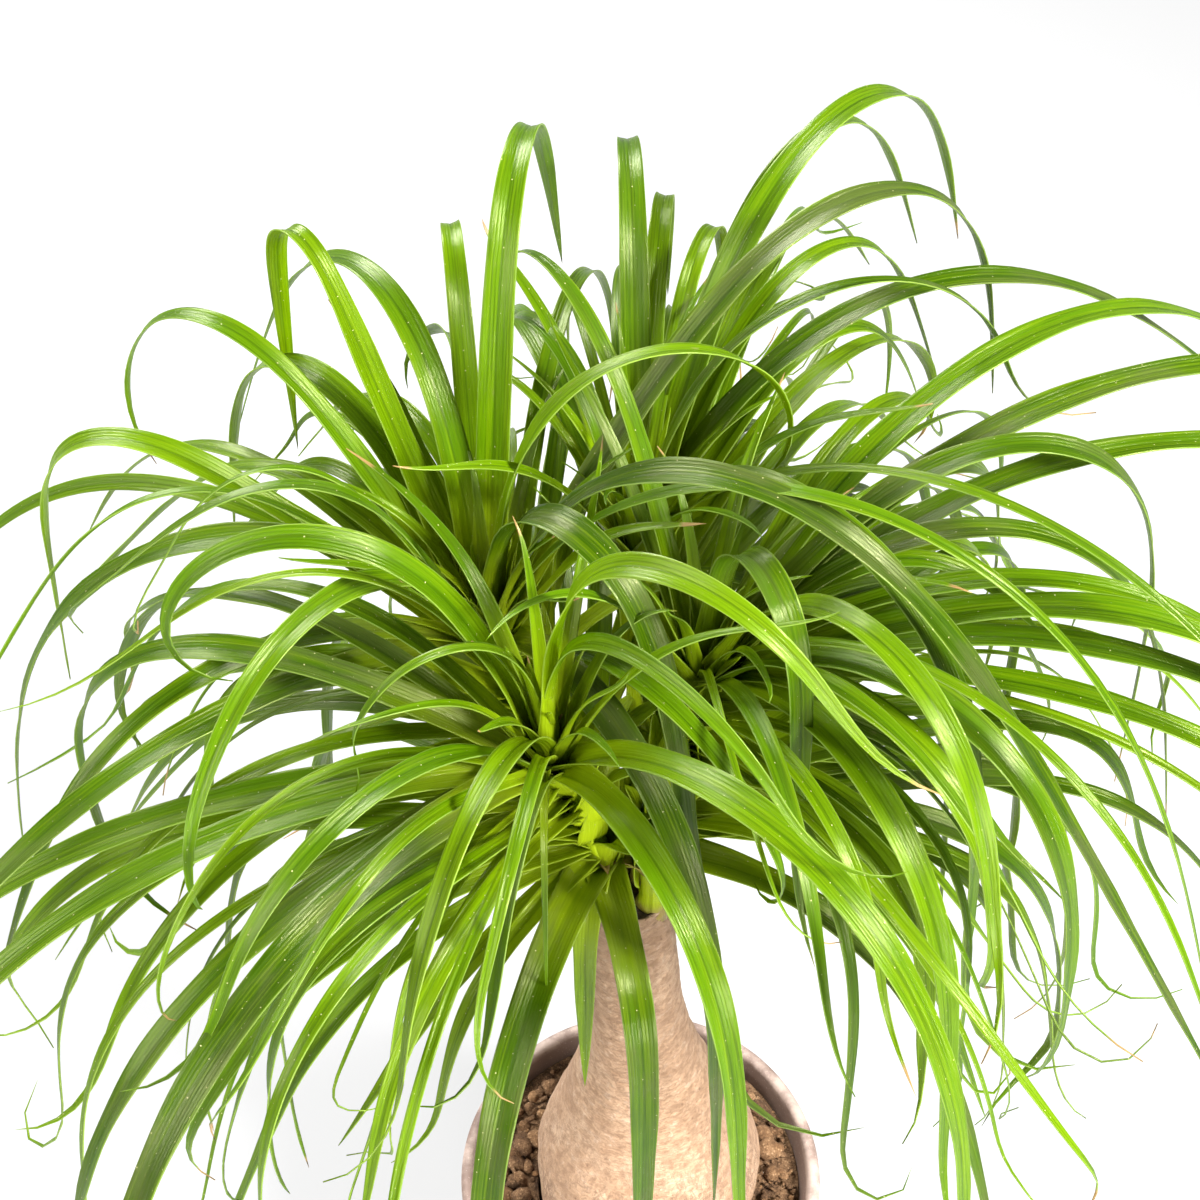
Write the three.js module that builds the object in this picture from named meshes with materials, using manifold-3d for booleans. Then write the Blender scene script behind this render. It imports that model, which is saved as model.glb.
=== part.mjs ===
// Potted ponytail palm: a round pot of soil, a swollen trunk cut off at its top, and four leafy
// shoots that stand in the cut top. Millimetres, +Z up, origin at the centre of the pot's underside.
import * as THREE from 'three';
import { mergeVertices } from 'three/addons/utils/BufferGeometryUtils.js';
import Module from 'manifold-3d';

const wasm = await Module();
wasm.setup();

// Pot
const POT_HEIGHT = 175;
const POT_RIM_RADIUS = 95;
const POT_BASE_RADIUS = 66;
const POT_WALL = 5;
const POT_FLOOR = 7;
const LIP_WIDTH = 7;
const LIP_HEIGHT = 14;
const LIP_STEPS = 6;
const LIP_OVERHANG = 3;
const EDGE_ROUNDING = 3;
const FLOOR_ROUNDING = 4;
const DRAIN_RADIUS = 5;
const DRAIN_RING = 36;
const DRAIN_COUNT = 4;
const DRAIN_SIDES = 16;
const POT_SIDES = 36;

// Soil
const SOIL_TOP = 161;
const SOIL_UNEVENNESS = 2.2;
const SOIL_RINGS = 3;
const SOIL_INNER_RING = 36;
const SOIL_CORNER = 5;
const CLOD_SEED = 97;
const CLOD_COUNT = 18;
const CLOD_SIZE = 6;
const CLOD_SPREAD = 2.5;
const CLOD_FLATNESS = 0.7;
const CLOD_LIFT = 1.5;
const CLOD_INNER_RING = 58;
const CLOD_EDGE = 8;

// Trunk: height and radius from the buried foot to the cut top
const TRUNK_PROFILE = [
  [112, 24], [120, 40], [134, 50], [155, 56], [188, 57.5], [213, 55.5], [240, 49], [270, 39],
  [305, 30], [335, 24.5], [365, 21.5], [410, 20.5], [462, 19.5],
];
const TRUNK_TOP = 462;
const TRUNK_LEAN = [[112, 4], [188, 4], [462, -10]];
const TRUNK_RINGS = 15;
const TRUNK_SIDES = 24;
const TRUNK_OVAL = 0.02;
const TRUNK_OVAL_TURN = 0.6;
const TRUNK_SWELL = 0.014;
const TRUNK_SWELL_PITCH = 26;
const CUT_RADIUS = 15.5;
const CUT_DISH = 1;
const PITH_RADIUS = 7;
const PITH_DEPTH = 6;

// Shoots: a short stem from its socket in the cut top to the crown, and its leaves
const SHOOTS = [
  { name: 'shoot_front_left', foot: [-20, -7], crown: [-42, -22, 590], leaves: 18 },
  { name: 'shoot_back_left', foot: [-16, 10], crown: [-68, 52, 572], leaves: 24 },
  { name: 'shoot_back', foot: [-1, 9], crown: [-6, 84, 596], leaves: 26 },
  { name: 'shoot_right', foot: [1, -7], crown: [20, 22, 588], leaves: 26 },
];
const STEM_RADIUS = 6;
const STEM_TIP = 5;
const STEM_STRAIGHT = 20;
const SHEATH_RADIUS = 14;
const SHEATH_LENGTH = 44;
const SHEATH_PLACE = 0.66;
const STEM_SIDES = 10;
const STEM_STEPS = 8;
const SOCKET_DEPTH = 14;
const SOCKET_SIDES = 12;
const CLEARANCE = 0.3;
const MERGE_DISTANCE = 1e-4;

// Leaves that stand out, set one by one. Shoot, place of the root on its stem (1 is the crown),
// bearing, rise at the root and fall at the tip in degrees, length and width, crest (where along it
// the leaf turns over), arch (how gently it does), sweep and twist along the leaf in degrees, curl
// and swirl of the tip in degrees.
const BOLD_LEAVES = [
  [1,1,-45,84,-82,562,14,0.24,0.085,14,0,95,50],
  [2,1,-42,74,-88,505,13,0.27,0.2,0,0,95,60],
  [1,1,-51,54,-88,425,14,0.22,0.22,0,0,0,0],
  [3, 1, -64, 84, -86, 330, 13, 0.38, 0.1, 0, 0, 40, 0],
  [1, 1, 81, 72, -70, 395, 14, 0.54, 0.12, 0, 0, 0, 0],
  [1, 1, 97, 62, -80, 310, 11, 0.56, 0.1, 0, 0, 0, 0],
  [1,1,134,62,-88,340,13,0.57,0.05,0,60,0,0],
  [1,1,102,72,-74,345,13,0.48,0.2,80,0,0,0],
  [1,1,150,56,-78,310,11,0.6,0.14,10,0,-40,0],
  [1,1,171,40,-86,360,13,0.52,0.1,0,0,0,60],
  [1,1,150,44,-56,330,12,0.33,0.14,25,60,0,0],
  [1,1,134,64,-84,310,14,0.46,0.18,30,0,0,0],
  [2, 1, 47, 72, -74, 385, 14, 0.54, 0.2, 0, 0, 0, 0],
  [1, 1, 27, 58, -82, 430, 14, 0.6, 0.16, 0, 0, 0, 0],
  [3, 1, 32, 62, -55, 430, 13, 0.42, 0.3, 0, 0, 0, 0],
  [3, 1, 20, 56, -35, 430, 13, 0.4, 0.3, 0, 0, 0, 0],
  [3, 1, 14, 50, -40, 420, 12, 0.4, 0.3, 0, 0, 0, 0],
  [3, 1, 0, 60, -80, 380, 11, 0.4, 0.2, 0, 0, 0, 0],
  [3, 1, -10, 34, -50, 410, 12, 0.4, 0.3, 0, 0, 0, 0],
  [3, 1, -18, 26, -50, 420, 12, 0.4, 0.3, 0, 0, 0, 0],
  [1,1,-20,76,-60,610,13,0.3,0.14,0,0,0,0],
  [3, 1, 12, 60, -88, 430, 12, 0.42, 0.16, -30, 0, 0, 0],
  [3, 1, -6, 48, -60, 400, 10, 0.4, 0.25, 0, 0, 0, 0],
  [3, 1, -14, 34, -88, 430, 14, 0.5, 0.22, -10, 0, 60, 0],
  [3,1,-36,58,-88,400,14,0.36,0.2,0,0,-40,-60],
  [3,1,-46,50,-86,290,14,0.45,0.2,0,0,-60,-120],
  [3, 1, -61, 52, -86, 380, 13, 0.34, 0.2, 0, 0, 30, 0],
  [2, 1, 52, 72, -70, 340, 12, 0.56, 0.16, -10, 0, 0, 0],
  [2, 1, 38, 64, -70, 300, 10, 0.5, 0.15, 0, 0, 0, 0],
  [2, 1, 18, 68, -50, 390, 12, 0.4, 0.25, 0, 0, 0, 0],
  [2, 1, 50, 55, -60, 240, 12, 0.62, 0.12, 0, 0, 0, 0],
  [0, 1, -44, 50, -86, 430, 14, 0.36, 0.25, 0, 0, 40, 0],
  [0,1,-59,44,-86,340,13,0.28,0.2,0,0,80,60],
  [0,0.25,-78,22,-89,330,14,0.2,0.12,0,0,110,-110],
  [0, 1, -130, 30, -80, 420, 16, 0.4, 0.3, 0, 0, 0, 0],
  [0,0.3,-110,24,-88,400,16,0.22,0.2,0,0,0,0],
  [0, 1, 172, 32, -95, 400, 13, 0.42, 0.18, 0, 0, -50, 0],
  [1,1,184,66,-84,400,13,0.32,0.3,0,0,0,0],
  [1, 1, 204, 46, -70, 340, 11, 0.42, 0.25, 0, 0, 0, 0],
  [1, 1, 210, 36, -60, 440, 12, 0.4, 0.35, 0, 0, 0, 0],
  [0, 1, -158, 26, -70, 430, 14, 0.4, 0.4, 0, 0, 0, 0],
  [0, 1, 190, 20, -60, 440, 13, 0.4, 0.35, 0, 0, 0, 0],
  [0, 1, -142, 16, -85, 420, 13, 0.4, 0.3, 0, 40, 0, 0],
  [2,1,92,62,-60,290,13,0.55,0.14,0,0,60,0],
  [2, 1, 84, 56, -75, 260, 11, 0.55, 0.12, 0, 0, 0, 0],
  [2, 1, 70, 58, -80, 270, 9, 0.5, 0.1, 0, 0, 80, 0],
  [0, 0.3, -101, 16, -89, 172, 11, 0.12, 0.1, 0, 0, 0, 0],
  [3, 0.3, -22, 15, -70, 330, 13, 0.22, 0.22, -40, 0, 0, 0],
  [3, 0.5, -30, 30, -70, 250, 12, 0.34, 0.2, 0, 0, 0, 0],
  [0, 0.3, 222, 8, -60, 190, 10, 0.3, 0.3, -20, 0, 0, 0],
  [0, 0.45, 205, 10, -50, 250, 11, 0.35, 0.3, 0, 0, 0, 0],
  [0, 0.35, 232, 8, -80, 200, 9, 0.35, 0.2, -30, 0, 70, 0],
  [0,0.35,-52,8,-66,400,14,0.24,0.3,0,0,0,0],
];
// Where such a leaf would cross another, it's turned or lifted by the first of these that clears it
const TURNS = [0, 3, -3, 6, -6, 9, -9, 12, -12];
const LIFTS = [0, 4, -4];

// The other leaves follow a rule with a seeded draw: the youngest stand up in the middle of the
// crown, the oldest hang from low on the stem, each a golden angle on from the last.
const LEAF_SEED = 5176;
const GOLDEN_ANGLE = 137.5;
const LEAF_TRIES = 150;
const BEARING_SPREAD = 50;
const YOUNGEST_TO_OLDEST = 0.65;
const LINE_STEPS = 48;
const BLADE_SEGMENTS = 7;
const BEND_SHARE = 0.4;
const KEEL_DEPTH = 0.15;
const KEEL_LEAST = 0.7;
const ROOT_WIDTH = 0.8;
const ROOT_WIDENING = 2;
const TAPER_START = 2.2;
const TAPER_END = 0.9;
const TIP_START = 0.75;

// For each measure of such a leaf: its middle for the youngest, what the oldest adds, its spread
const DRAWN_LEAF = {
  rise: [74, -66, 16],
  fall: [-76, 0, 14],
  length: [280, 110, 60],
  width: [10.5, 0, 2.5],
  crest: [0.52, -0.16, 0.1],
  arch: [0.2, 0, 0.1],
  sweep: [0, 0, 30],
  twist: [0, 0, 80],
  curl: [0, 0, 110],
  swirl: [0, 0, 70],
  lean: [0, 0, 12],
};

// Leaves keep clear of what is already there, which is noted in a grid of small cells
const CELL = 4;
const TOUCHING_LENGTH = 80;
const TRUNK_AIR = 9;
const POT_AIR = 13;
const GROUND_AIR = 12;
const STEM_ROOM = 2.6;
const STEM_PLACES = [0.15, 0.4, 0.7, 1];

// The front is kept thin, so that the trunk and the soil show from above the front
const SIGHT_SLOPE = 2.14;
const SIGHT_CENTRE = -5;
const SIGHT_HEIGHTS = [150, 455];
const SIGHT_SHOULDER = 230;
const SIGHT_HALF_BELOW = 85;
const SIGHT_HALF_ABOVE = 38;

const COLOURS = {
  pot: 0x8d7468,
  soil: 0x5b4029,
  trunk: 0xd9b895,
  shoot_front_left: 0x6fa51e,
  shoot_back_left: 0x86b82a,
  shoot_back: 0x4c8216,
  shoot_right: 0x5f9620,
};

const radians = (degrees) => degrees * Math.PI / 180;

// A draw that gives the same numbers on every run
function seededDraw(seed) {
  let state = seed;
  return (middle, spread) => {
    state = (state * 16807) % 2147483647;
    return middle + spread * (2 * state / 2147483647 - 1);
  };
}

function toSolid(geometry) {
  geometry.deleteAttribute('normal');
  geometry.deleteAttribute('uv');
  const merged = mergeVertices(geometry, MERGE_DISTANCE);
  const vertProperties = new Float32Array(merged.attributes.position.array);
  const triVerts = new Uint32Array(merged.index.array);
  return new wasm.Manifold(new wasm.Mesh({ numProp: 3, vertProperties, triVerts }));
}

// The body without what fusing left loose or sealed inside it
function outermost(solid) {
  return solid.decompose().reduce((best, part) => (part.volume() > best.volume() ? part : best));
}

function toGeometry(solid) {
  const mesh = solid.getMesh();
  const geometry = new THREE.BufferGeometry();
  geometry.setAttribute('position', new THREE.BufferAttribute(mesh.vertProperties, 3));
  geometry.setIndex(new THREE.BufferAttribute(mesh.triVerts, 1));
  return geometry;
}

// A turned shape about the Z axis from radius and height pairs that run from the axis to the axis
function turned(profile, sides) {
  const points = profile.map(([radius, height]) => new THREE.Vector2(radius, height));
  return new THREE.LatheGeometry(points, sides).rotateX(Math.PI / 2);
}

function interpolate(table, at) {
  if (at <= table[0][0]) return table[0][1];
  for (let i = 1; i < table.length; i += 1) {
    const [x0, y0] = table[i - 1];
    const [x1, y1] = table[i];
    if (at <= x1) return y0 + (y1 - y0) * (at - x0) / (x1 - x0);
  }
  return table[table.length - 1][1];
}

// Radius of the pot's outer wall and of the space inside it at a height
const potFlare = (POT_RIM_RADIUS - LIP_OVERHANG - POT_BASE_RADIUS) / POT_HEIGHT;
const potOuter = (z) => POT_BASE_RADIUS + potFlare * z;
const potInner = (z) => potOuter(z) - POT_WALL;

function pot() {
  const lipBottom = POT_HEIGHT - LIP_HEIGHT;
  const lipMiddle = POT_RIM_RADIUS - LIP_WIDTH / 2;
  const wallTop = lipBottom - LIP_OVERHANG;
  const cornerTop = POT_FLOOR + FLOOR_ROUNDING;
  const profile = [
    [0, 0],
    [POT_BASE_RADIUS - EDGE_ROUNDING, 0],
    [POT_BASE_RADIUS, EDGE_ROUNDING],
    [potOuter(wallTop), wallTop],
    [POT_RIM_RADIUS, lipBottom],
  ];
  for (let i = 0; i <= LIP_STEPS; i += 1) {
    const turn = Math.PI * i / LIP_STEPS;
    const height = POT_HEIGHT - LIP_WIDTH / 2 + Math.sin(turn) * LIP_WIDTH / 2;
    profile.push([lipMiddle + Math.cos(turn) * LIP_WIDTH / 2, height]);
  }
  profile.push([potInner(wallTop), wallTop]);
  profile.push([potInner(cornerTop), cornerTop]);
  profile.push([potInner(POT_FLOOR) - FLOOR_ROUNDING, POT_FLOOR]);
  profile.push([0, POT_FLOOR]);
  let solid = toSolid(turned(profile, POT_SIDES));
  for (let i = 0; i < DRAIN_COUNT; i += 1) {
    const turn = 2 * Math.PI * (i + 0.5) / DRAIN_COUNT;
    const length = 3 * POT_FLOOR;
    const drain = new THREE.CylinderGeometry(DRAIN_RADIUS, DRAIN_RADIUS, length, DRAIN_SIDES);
    drain.rotateX(Math.PI / 2);
    drain.translate(DRAIN_RING * Math.cos(turn), DRAIN_RING * Math.sin(turn), POT_FLOOR / 2);
    solid = solid.subtract(toSolid(drain));
  }
  return solid;
}

const trunkRadius = (z) => interpolate(TRUNK_PROFILE, z);
const trunkAxis = (z) => interpolate(TRUNK_LEAN, z);

// The trunk is turned, then leant and made a little uneven. A wider copy cuts its hole in the soil.
function trunkBody(wider) {
  const curve = new THREE.SplineCurve(TRUNK_PROFILE.map(([z, radius]) => new THREE.Vector2(radius, z)));
  const outline = curve.getPoints(TRUNK_RINGS).map((point) => [point.x + wider, point.y]);
  outline[0][1] -= wider;
  const profile = [[0, outline[0][1]], ...outline];
  profile.push([CUT_RADIUS + wider, TRUNK_TOP - CUT_DISH]);
  profile.push([PITH_RADIUS, TRUNK_TOP - 2 * CUT_DISH]);
  profile.push([0, TRUNK_TOP - PITH_DEPTH]);
  const geometry = turned(profile, TRUNK_SIDES);
  const position = geometry.attributes.position;
  for (let i = 0; i < position.count; i += 1) {
    const x = position.getX(i);
    const y = position.getY(i);
    const z = position.getZ(i);
    const turn = Math.atan2(y, x);
    const oval = TRUNK_OVAL * Math.sin(2 * turn + TRUNK_OVAL_TURN);
    const swell = 1 + oval + TRUNK_SWELL * Math.sin(3 * turn + z / TRUNK_SWELL_PITCH);
    position.setXYZ(i, x * swell + trunkAxis(z), y * swell, z);
  }
  return toSolid(geometry);
}

// The line of a stem from where it starts to bend, above the cut top, up to the crown
function stemCurve(shoot) {
  const [footX, footY] = shoot.foot;
  const [crownX, crownY, crownZ] = shoot.crown;
  const foot = new THREE.Vector3(footX, footY, TRUNK_TOP + STEM_STRAIGHT);
  const bend = new THREE.Vector3(footX, footY, foot.z + 0.25 * (crownZ - foot.z));
  return new THREE.QuadraticBezierCurve3(foot, bend, new THREE.Vector3(crownX, crownY, crownZ));
}

function stem(shoot) {
  const curve = stemCurve(shoot);
  const foot = curve.getPoint(0);
  const end = curve.getTangent(1).multiplyScalar(STEM_TIP).add(curve.getPoint(1));
  const bottom = foot.clone().setZ(TRUNK_TOP - SOCKET_DEPTH + CLEARANCE);
  const section = new THREE.Shape().absarc(0, 0, STEM_RADIUS, 0, 2 * Math.PI);
  const path = new THREE.CurvePath();
  path.add(new THREE.LineCurve3(bottom, foot));
  path.add(curve);
  path.add(new THREE.LineCurve3(curve.getPoint(1), end));
  const options = { steps: STEM_STEPS, curveSegments: STEM_SIDES, extrudePath: path };
  return toSolid(new THREE.ExtrudeGeometry(section, { ...options, bevelEnabled: false }));
}

// The clasping leaf bases swell the stem below the crown
function sheath(shoot) {
  const curve = stemCurve(shoot);
  const swelling = new THREE.IcosahedronGeometry(1, 1);
  swelling.scale(SHEATH_RADIUS, SHEATH_RADIUS, SHEATH_LENGTH);
  const upright = new THREE.Vector3(0, 0, 1);
  const lean = new THREE.Quaternion().setFromUnitVectors(upright, curve.getTangent(SHEATH_PLACE));
  swelling.applyQuaternion(lean);
  swelling.translate(...curve.getPoint(SHEATH_PLACE).toArray());
  return toSolid(swelling);
}

function soil() {
  const top = SOIL_TOP;
  const edge = potInner(top) - CLEARANCE;
  const bottom = POT_FLOOR + CLEARANCE;
  const cornerTop = bottom + SOIL_CORNER;
  const profile = [
    [0, bottom],
    [potInner(bottom) - SOIL_CORNER, bottom],
    [potInner(cornerTop) - CLEARANCE, cornerTop],
  ];
  for (let ring = 0; ring <= SOIL_RINGS; ring += 1) {
    profile.push([edge - (edge - SOIL_INNER_RING) * ring / SOIL_RINGS, top]);
  }
  profile.push([0, top]);
  const geometry = turned(profile, POT_SIDES);
  const position = geometry.attributes.position;
  for (let i = 0; i < position.count; i += 1) {
    const x = position.getX(i);
    const y = position.getY(i);
    const inside = Math.hypot(x, y) < edge - 1;
    if (position.getZ(i) < top || !inside) continue;
    const waves = Math.sin(x / 7 + 1) * Math.cos(y / 6) + Math.sin((x + y) / 11);
    position.setZ(i, top + SOIL_UNEVENNESS * waves);
  }
  let solid = toSolid(geometry);
  const draw = seededDraw(CLOD_SEED);
  const clodRing = (edge - CLOD_EDGE + CLOD_INNER_RING) / 2;
  const ringSpread = (edge - CLOD_EDGE - CLOD_INNER_RING) / 2;
  for (let i = 0; i < CLOD_COUNT; i += 1) {
    const turn = radians(i * GOLDEN_ANGLE);
    const size = draw(CLOD_SIZE, CLOD_SPREAD);
    const ring = draw(clodRing, ringSpread);
    const clod = new THREE.IcosahedronGeometry(size, 0);
    clod.rotateZ(turn);
    clod.rotateX(draw(0, 1));
    clod.scale(1, 1, CLOD_FLATNESS);
    clod.translate(ring * Math.cos(turn), ring * Math.sin(turn), top + draw(0, CLOD_LIFT));
    solid = solid.add(toSolid(clod));
  }
  return outermost(solid.subtract(trunkBody(CLEARANCE)));
}

// Each shoot stands in a plain upright socket in the cut top
function trunk() {
  const radius = (STEM_RADIUS + CLEARANCE) / Math.cos(Math.PI / SOCKET_SIDES);
  return SHOOTS.reduce((solid, { foot }) => {
    const socket = new THREE.CylinderGeometry(radius, radius, 2 * SOCKET_DEPTH, SOCKET_SIDES);
    socket.rotateX(Math.PI / 2).translate(foot[0], foot[1], TRUNK_TOP);
    return solid.subtract(toSolid(socket));
  }, trunkBody(0));
}

// How far a leaf has turned from its rise at the root (0) to its fall at the tip (1)
function turnedOver(leaf, along) {
  const start = Math.tanh((0 - leaf.crest) / leaf.arch);
  const end = Math.tanh((1 - leaf.crest) / leaf.arch);
  return (Math.tanh((along - leaf.crest) / leaf.arch) - start) / (end - start);
}

// Pitch and bearing of the leaf's line at a share of its length
function direction(leaf, along) {
  const tip = Math.max(0, (along - TIP_START) / (1 - TIP_START)) ** 2;
  const pitch = leaf.rise + (leaf.fall - leaf.rise) * turnedOver(leaf, along) + leaf.curl * tip;
  const bearing = leaf.bearing + leaf.sweep * along * along + leaf.swirl * tip;
  return [radians(pitch), radians(bearing)];
}

function leafLine(leaf) {
  const stride = leaf.length / LINE_STEPS;
  const points = [leaf.root];
  for (let i = 0; i < LINE_STEPS; i += 1) {
    const [pitch, bearing] = direction(leaf, (i + 0.5) / LINE_STEPS);
    const [x, y, z] = points[i];
    const level = stride * Math.cos(pitch);
    points.push([
      x + level * Math.cos(bearing),
      y + level * Math.sin(bearing),
      z + stride * Math.sin(pitch),
    ]);
  }
  return points;
}

const bladeWidth = (leaf, along) => {
  const root = Math.min(1, ROOT_WIDTH + ROOT_WIDENING * along);
  return leaf.width * root * Math.max(0, 1 - along ** TAPER_START) ** TAPER_END;
};

// Steps of the line at which the blade has its stations, closer together where it turns over
function stationSteps(leaf) {
  const steps = [0];
  for (let i = 1; i < LINE_STEPS; i += 1) {
    const along = i / LINE_STEPS;
    const progress = (1 - BEND_SHARE) * along + BEND_SHARE * turnedOver(leaf, along);
    if (progress * BLADE_SEGMENTS >= steps.length && steps.length < BLADE_SEGMENTS) steps.push(i);
  }
  steps.push(LINE_STEPS);
  return steps;
}

// Stations along the blade: a point on its line, the way across it, the way down to its keel
function stations(leaf) {
  const line = leafLine(leaf);
  const list = [];
  for (const step of stationSteps(leaf)) {
    const along = step / LINE_STEPS;
    const point = line[step];
    const [pitch, bearing] = direction(leaf, along);
    const roll = radians(leaf.lean + leaf.twist * along * along);
    const level = [-Math.sin(bearing), Math.cos(bearing), 0];
    const over = [-Math.sin(pitch) * Math.cos(bearing), -Math.sin(pitch) * Math.sin(bearing), Math.cos(pitch)];
    const across = level.map((value, k) => value * Math.cos(roll) + over[k] * Math.sin(roll));
    const down = level.map((value, k) => value * Math.sin(roll) - over[k] * Math.cos(roll));
    list.push({ point, across, down, width: bladeWidth(leaf, along) });
  }
  return list;
}

// Points spread over a strip, each with its distance along it
function stripPoints(strip) {
  const list = [];
  let distance = 0;
  for (let j = 1; j < strip.length; j += 1) {
    const a = strip[j - 1];
    const b = strip[j];
    const span = Math.hypot(...a.point.map((value, k) => b.point[k] - value));
    const count = Math.max(1, Math.ceil(span / CELL));
    for (let i = 0; i < count; i += 1) {
      const part = i / count;
      const half = (a.width + (b.width - a.width) * part) / 2;
      for (const side of [-half, 0, half]) {
        const point = [0, 1, 2].map((k) => {
          const middle = a.point[k] + (b.point[k] - a.point[k]) * part;
          return middle + side * (a.across[k] + (b.across[k] - a.across[k]) * part);
        });
        list.push([point, distance + span * part]);
      }
    }
    distance += span;
  }
  return list;
}

const owners = new Map();
const leafCells = new Set();
const cellOf = (point) => point.map((value) => Math.floor(value / CELL));

function occupy(strip, owner, isLeaf) {
  for (const [point] of stripPoints(strip)) {
    const [i, j, k] = cellOf(point);
    if (isLeaf) leafCells.add(`${i},${j},${k}`);
    for (let di = -1; di <= 1; di += 1) {
      for (let dj = -1; dj <= 1; dj += 1) {
        for (let dk = -1; dk <= 1; dk += 1) {
          const key = `${i + di},${j + dj},${k + dk}`;
          if (!owners.has(key)) owners.set(key, owner);
        }
      }
    }
  }
}

// Whether a point hangs between the trunk or soil and an eye above the front
function hidesTrunk([x, y, z]) {
  if (y >= 0) return false;
  const seen = z + SIGHT_SLOPE * y;
  const [lowest, highest] = SIGHT_HEIGHTS;
  const half = seen < SIGHT_SHOULDER ? SIGHT_HALF_BELOW : SIGHT_HALF_ABOVE;
  return seen > lowest && seen < highest && Math.abs(x - SIGHT_CENTRE) < half;
}

function isClear(strip, owner, mayHide) {
  return stripPoints(strip).every(([point, distance]) => {
    const [x, y, z] = point;
    if (z < GROUND_AIR) return false;
    if (z < POT_HEIGHT + POT_AIR && Math.hypot(x, y) < POT_RIM_RADIUS + POT_AIR) return false;
    const fromTrunk = Math.hypot(x - trunkAxis(z), y);
    if (z < TRUNK_TOP + TRUNK_AIR && fromTrunk < trunkRadius(z) + TRUNK_AIR) return false;
    if (!mayHide && hidesTrunk(point)) return false;
    const key = cellOf(point).join(',');
    const other = owners.get(key);
    if (other !== undefined && other !== owner) return false;
    return distance <= TOUCHING_LENGTH || !leafCells.has(key);
  });
}

function occupyStems() {
  SHOOTS.forEach((shoot, owner) => {
    const curve = stemCurve(shoot);
    for (const across of [[1, 0, 0], [0, 1, 0]]) {
      const width = STEM_ROOM * STEM_RADIUS;
      const strip = STEM_PLACES.map((at) => ({ point: curve.getPoint(at).toArray(), across, width }));
      occupy(strip, owner, false);
    }
  });
}

function boldLeaves() {
  const nudges = TURNS.flatMap((turn) => LIFTS.map((lift) => [turn, lift]));
  const leaves = [];
  for (const row of BOLD_LEAVES) {
    const [owner, place, aim, slope, fall, length, width, ...rest] = row;
    const [crest, arch, sweep, twist, curl, swirl] = rest;
    const root = stemCurve(SHOOTS[owner]).getPoint(place).toArray();
    for (const [turn, lift] of nudges) {
      const leaf = { owner, root, bearing: aim + turn, rise: slope + lift, fall, length, width };
      Object.assign(leaf, { crest, arch, sweep, twist, curl, swirl, lean: 0 });
      const strip = stations(leaf);
      if (!isClear(strip, owner, true)) continue;
      occupy(strip, owner, true);
      leaves.push({ owner, strip });
      break;
    }
  }
  return leaves;
}

function drawnLeaf(draw, owner, index, age, spread) {
  const place = 1 - YOUNGEST_TO_OLDEST * age;
  const leaf = { owner, root: stemCurve(SHOOTS[owner]).getPoint(place).toArray() };
  leaf.bearing = index * GOLDEN_ANGLE + draw(0, spread);
  for (const [name, [youngest, change, width]] of Object.entries(DRAWN_LEAF)) {
    leaf[name] = draw(youngest + change * age, width);
  }
  return leaf;
}

function drawnLeaves() {
  const draw = seededDraw(LEAF_SEED);
  const leaves = [];
  const most = Math.max(...SHOOTS.map((shoot) => shoot.leaves));
  for (let index = 0; index < most; index += 1) {
    SHOOTS.forEach((shoot, owner) => {
      if (index >= shoot.leaves) return;
      const age = index / (shoot.leaves - 1);
      for (let i = 0; i < LEAF_TRIES; i += 1) {
        const strip = stations(drawnLeaf(draw, owner, index, age, BEARING_SPREAD + i));
        if (!isClear(strip, owner, false)) continue;
        occupy(strip, owner, true);
        leaves.push({ owner, strip });
        break;
      }
    });
  }
  return leaves;
}

// A blade is three-sided: its two edges and a keel under its middle, drawn out to a point
function blade(strip) {
  const vertices = [];
  for (const { point, across, down, width } of strip.slice(0, -1)) {
    const keel = Math.max(KEEL_LEAST, KEEL_DEPTH * width);
    vertices.push(...point.map((value, k) => value - across[k] * width / 2));
    vertices.push(...point.map((value, k) => value + across[k] * width / 2));
    vertices.push(...point.map((value, k) => value + down[k] * keel));
  }
  vertices.push(...strip[strip.length - 1].point);
  const faces = [0, 1, 2];
  for (let j = 0; j < strip.length - 2; j += 1) {
    const [left, right, keel] = [3 * j, 3 * j + 1, 3 * j + 2];
    faces.push(left, left + 3, right + 3, left, right + 3, right);
    faces.push(left, keel + 3, left + 3, left, keel, keel + 3);
    faces.push(keel, right + 3, keel + 3, keel, right, right + 3);
  }
  const last = 3 * (strip.length - 2);
  const tip = last + 3;
  faces.push(last, tip, last + 1, last + 1, tip, last + 2, last + 2, tip, last);
  const geometry = new THREE.BufferGeometry();
  geometry.setAttribute('position', new THREE.Float32BufferAttribute(vertices, 3));
  geometry.setIndex(faces);
  return toSolid(geometry);
}

function named(name, solid) {
  const roughness = name === 'pot' || name === 'soil' ? 0.9 : 0.55;
  const material = new THREE.MeshStandardMaterial({ color: COLOURS[name], roughness, metalness: 0 });
  const mesh = new THREE.Mesh(toGeometry(solid), material);
  mesh.name = name;
  return mesh;
}

occupyStems();
const leaves = [...boldLeaves(), ...drawnLeaves()];

const group = new THREE.Group();
group.add(named('pot', pot()));
group.add(named('soil', soil()));
group.add(named('trunk', trunk()));
SHOOTS.forEach((shoot, owner) => {
  const own = leaves.filter((leaf) => leaf.owner === owner);
  const core = stem(shoot).add(sheath(shoot));
  const solid = own.reduce((body, leaf) => body.add(blade(leaf.strip)), core);
  group.add(named(shoot.name, outermost(solid)));
});

export default group;
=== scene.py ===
import math

import bmesh
import bpy
import numpy as np
from mathutils import Euler, Matrix, Vector, noise


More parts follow.
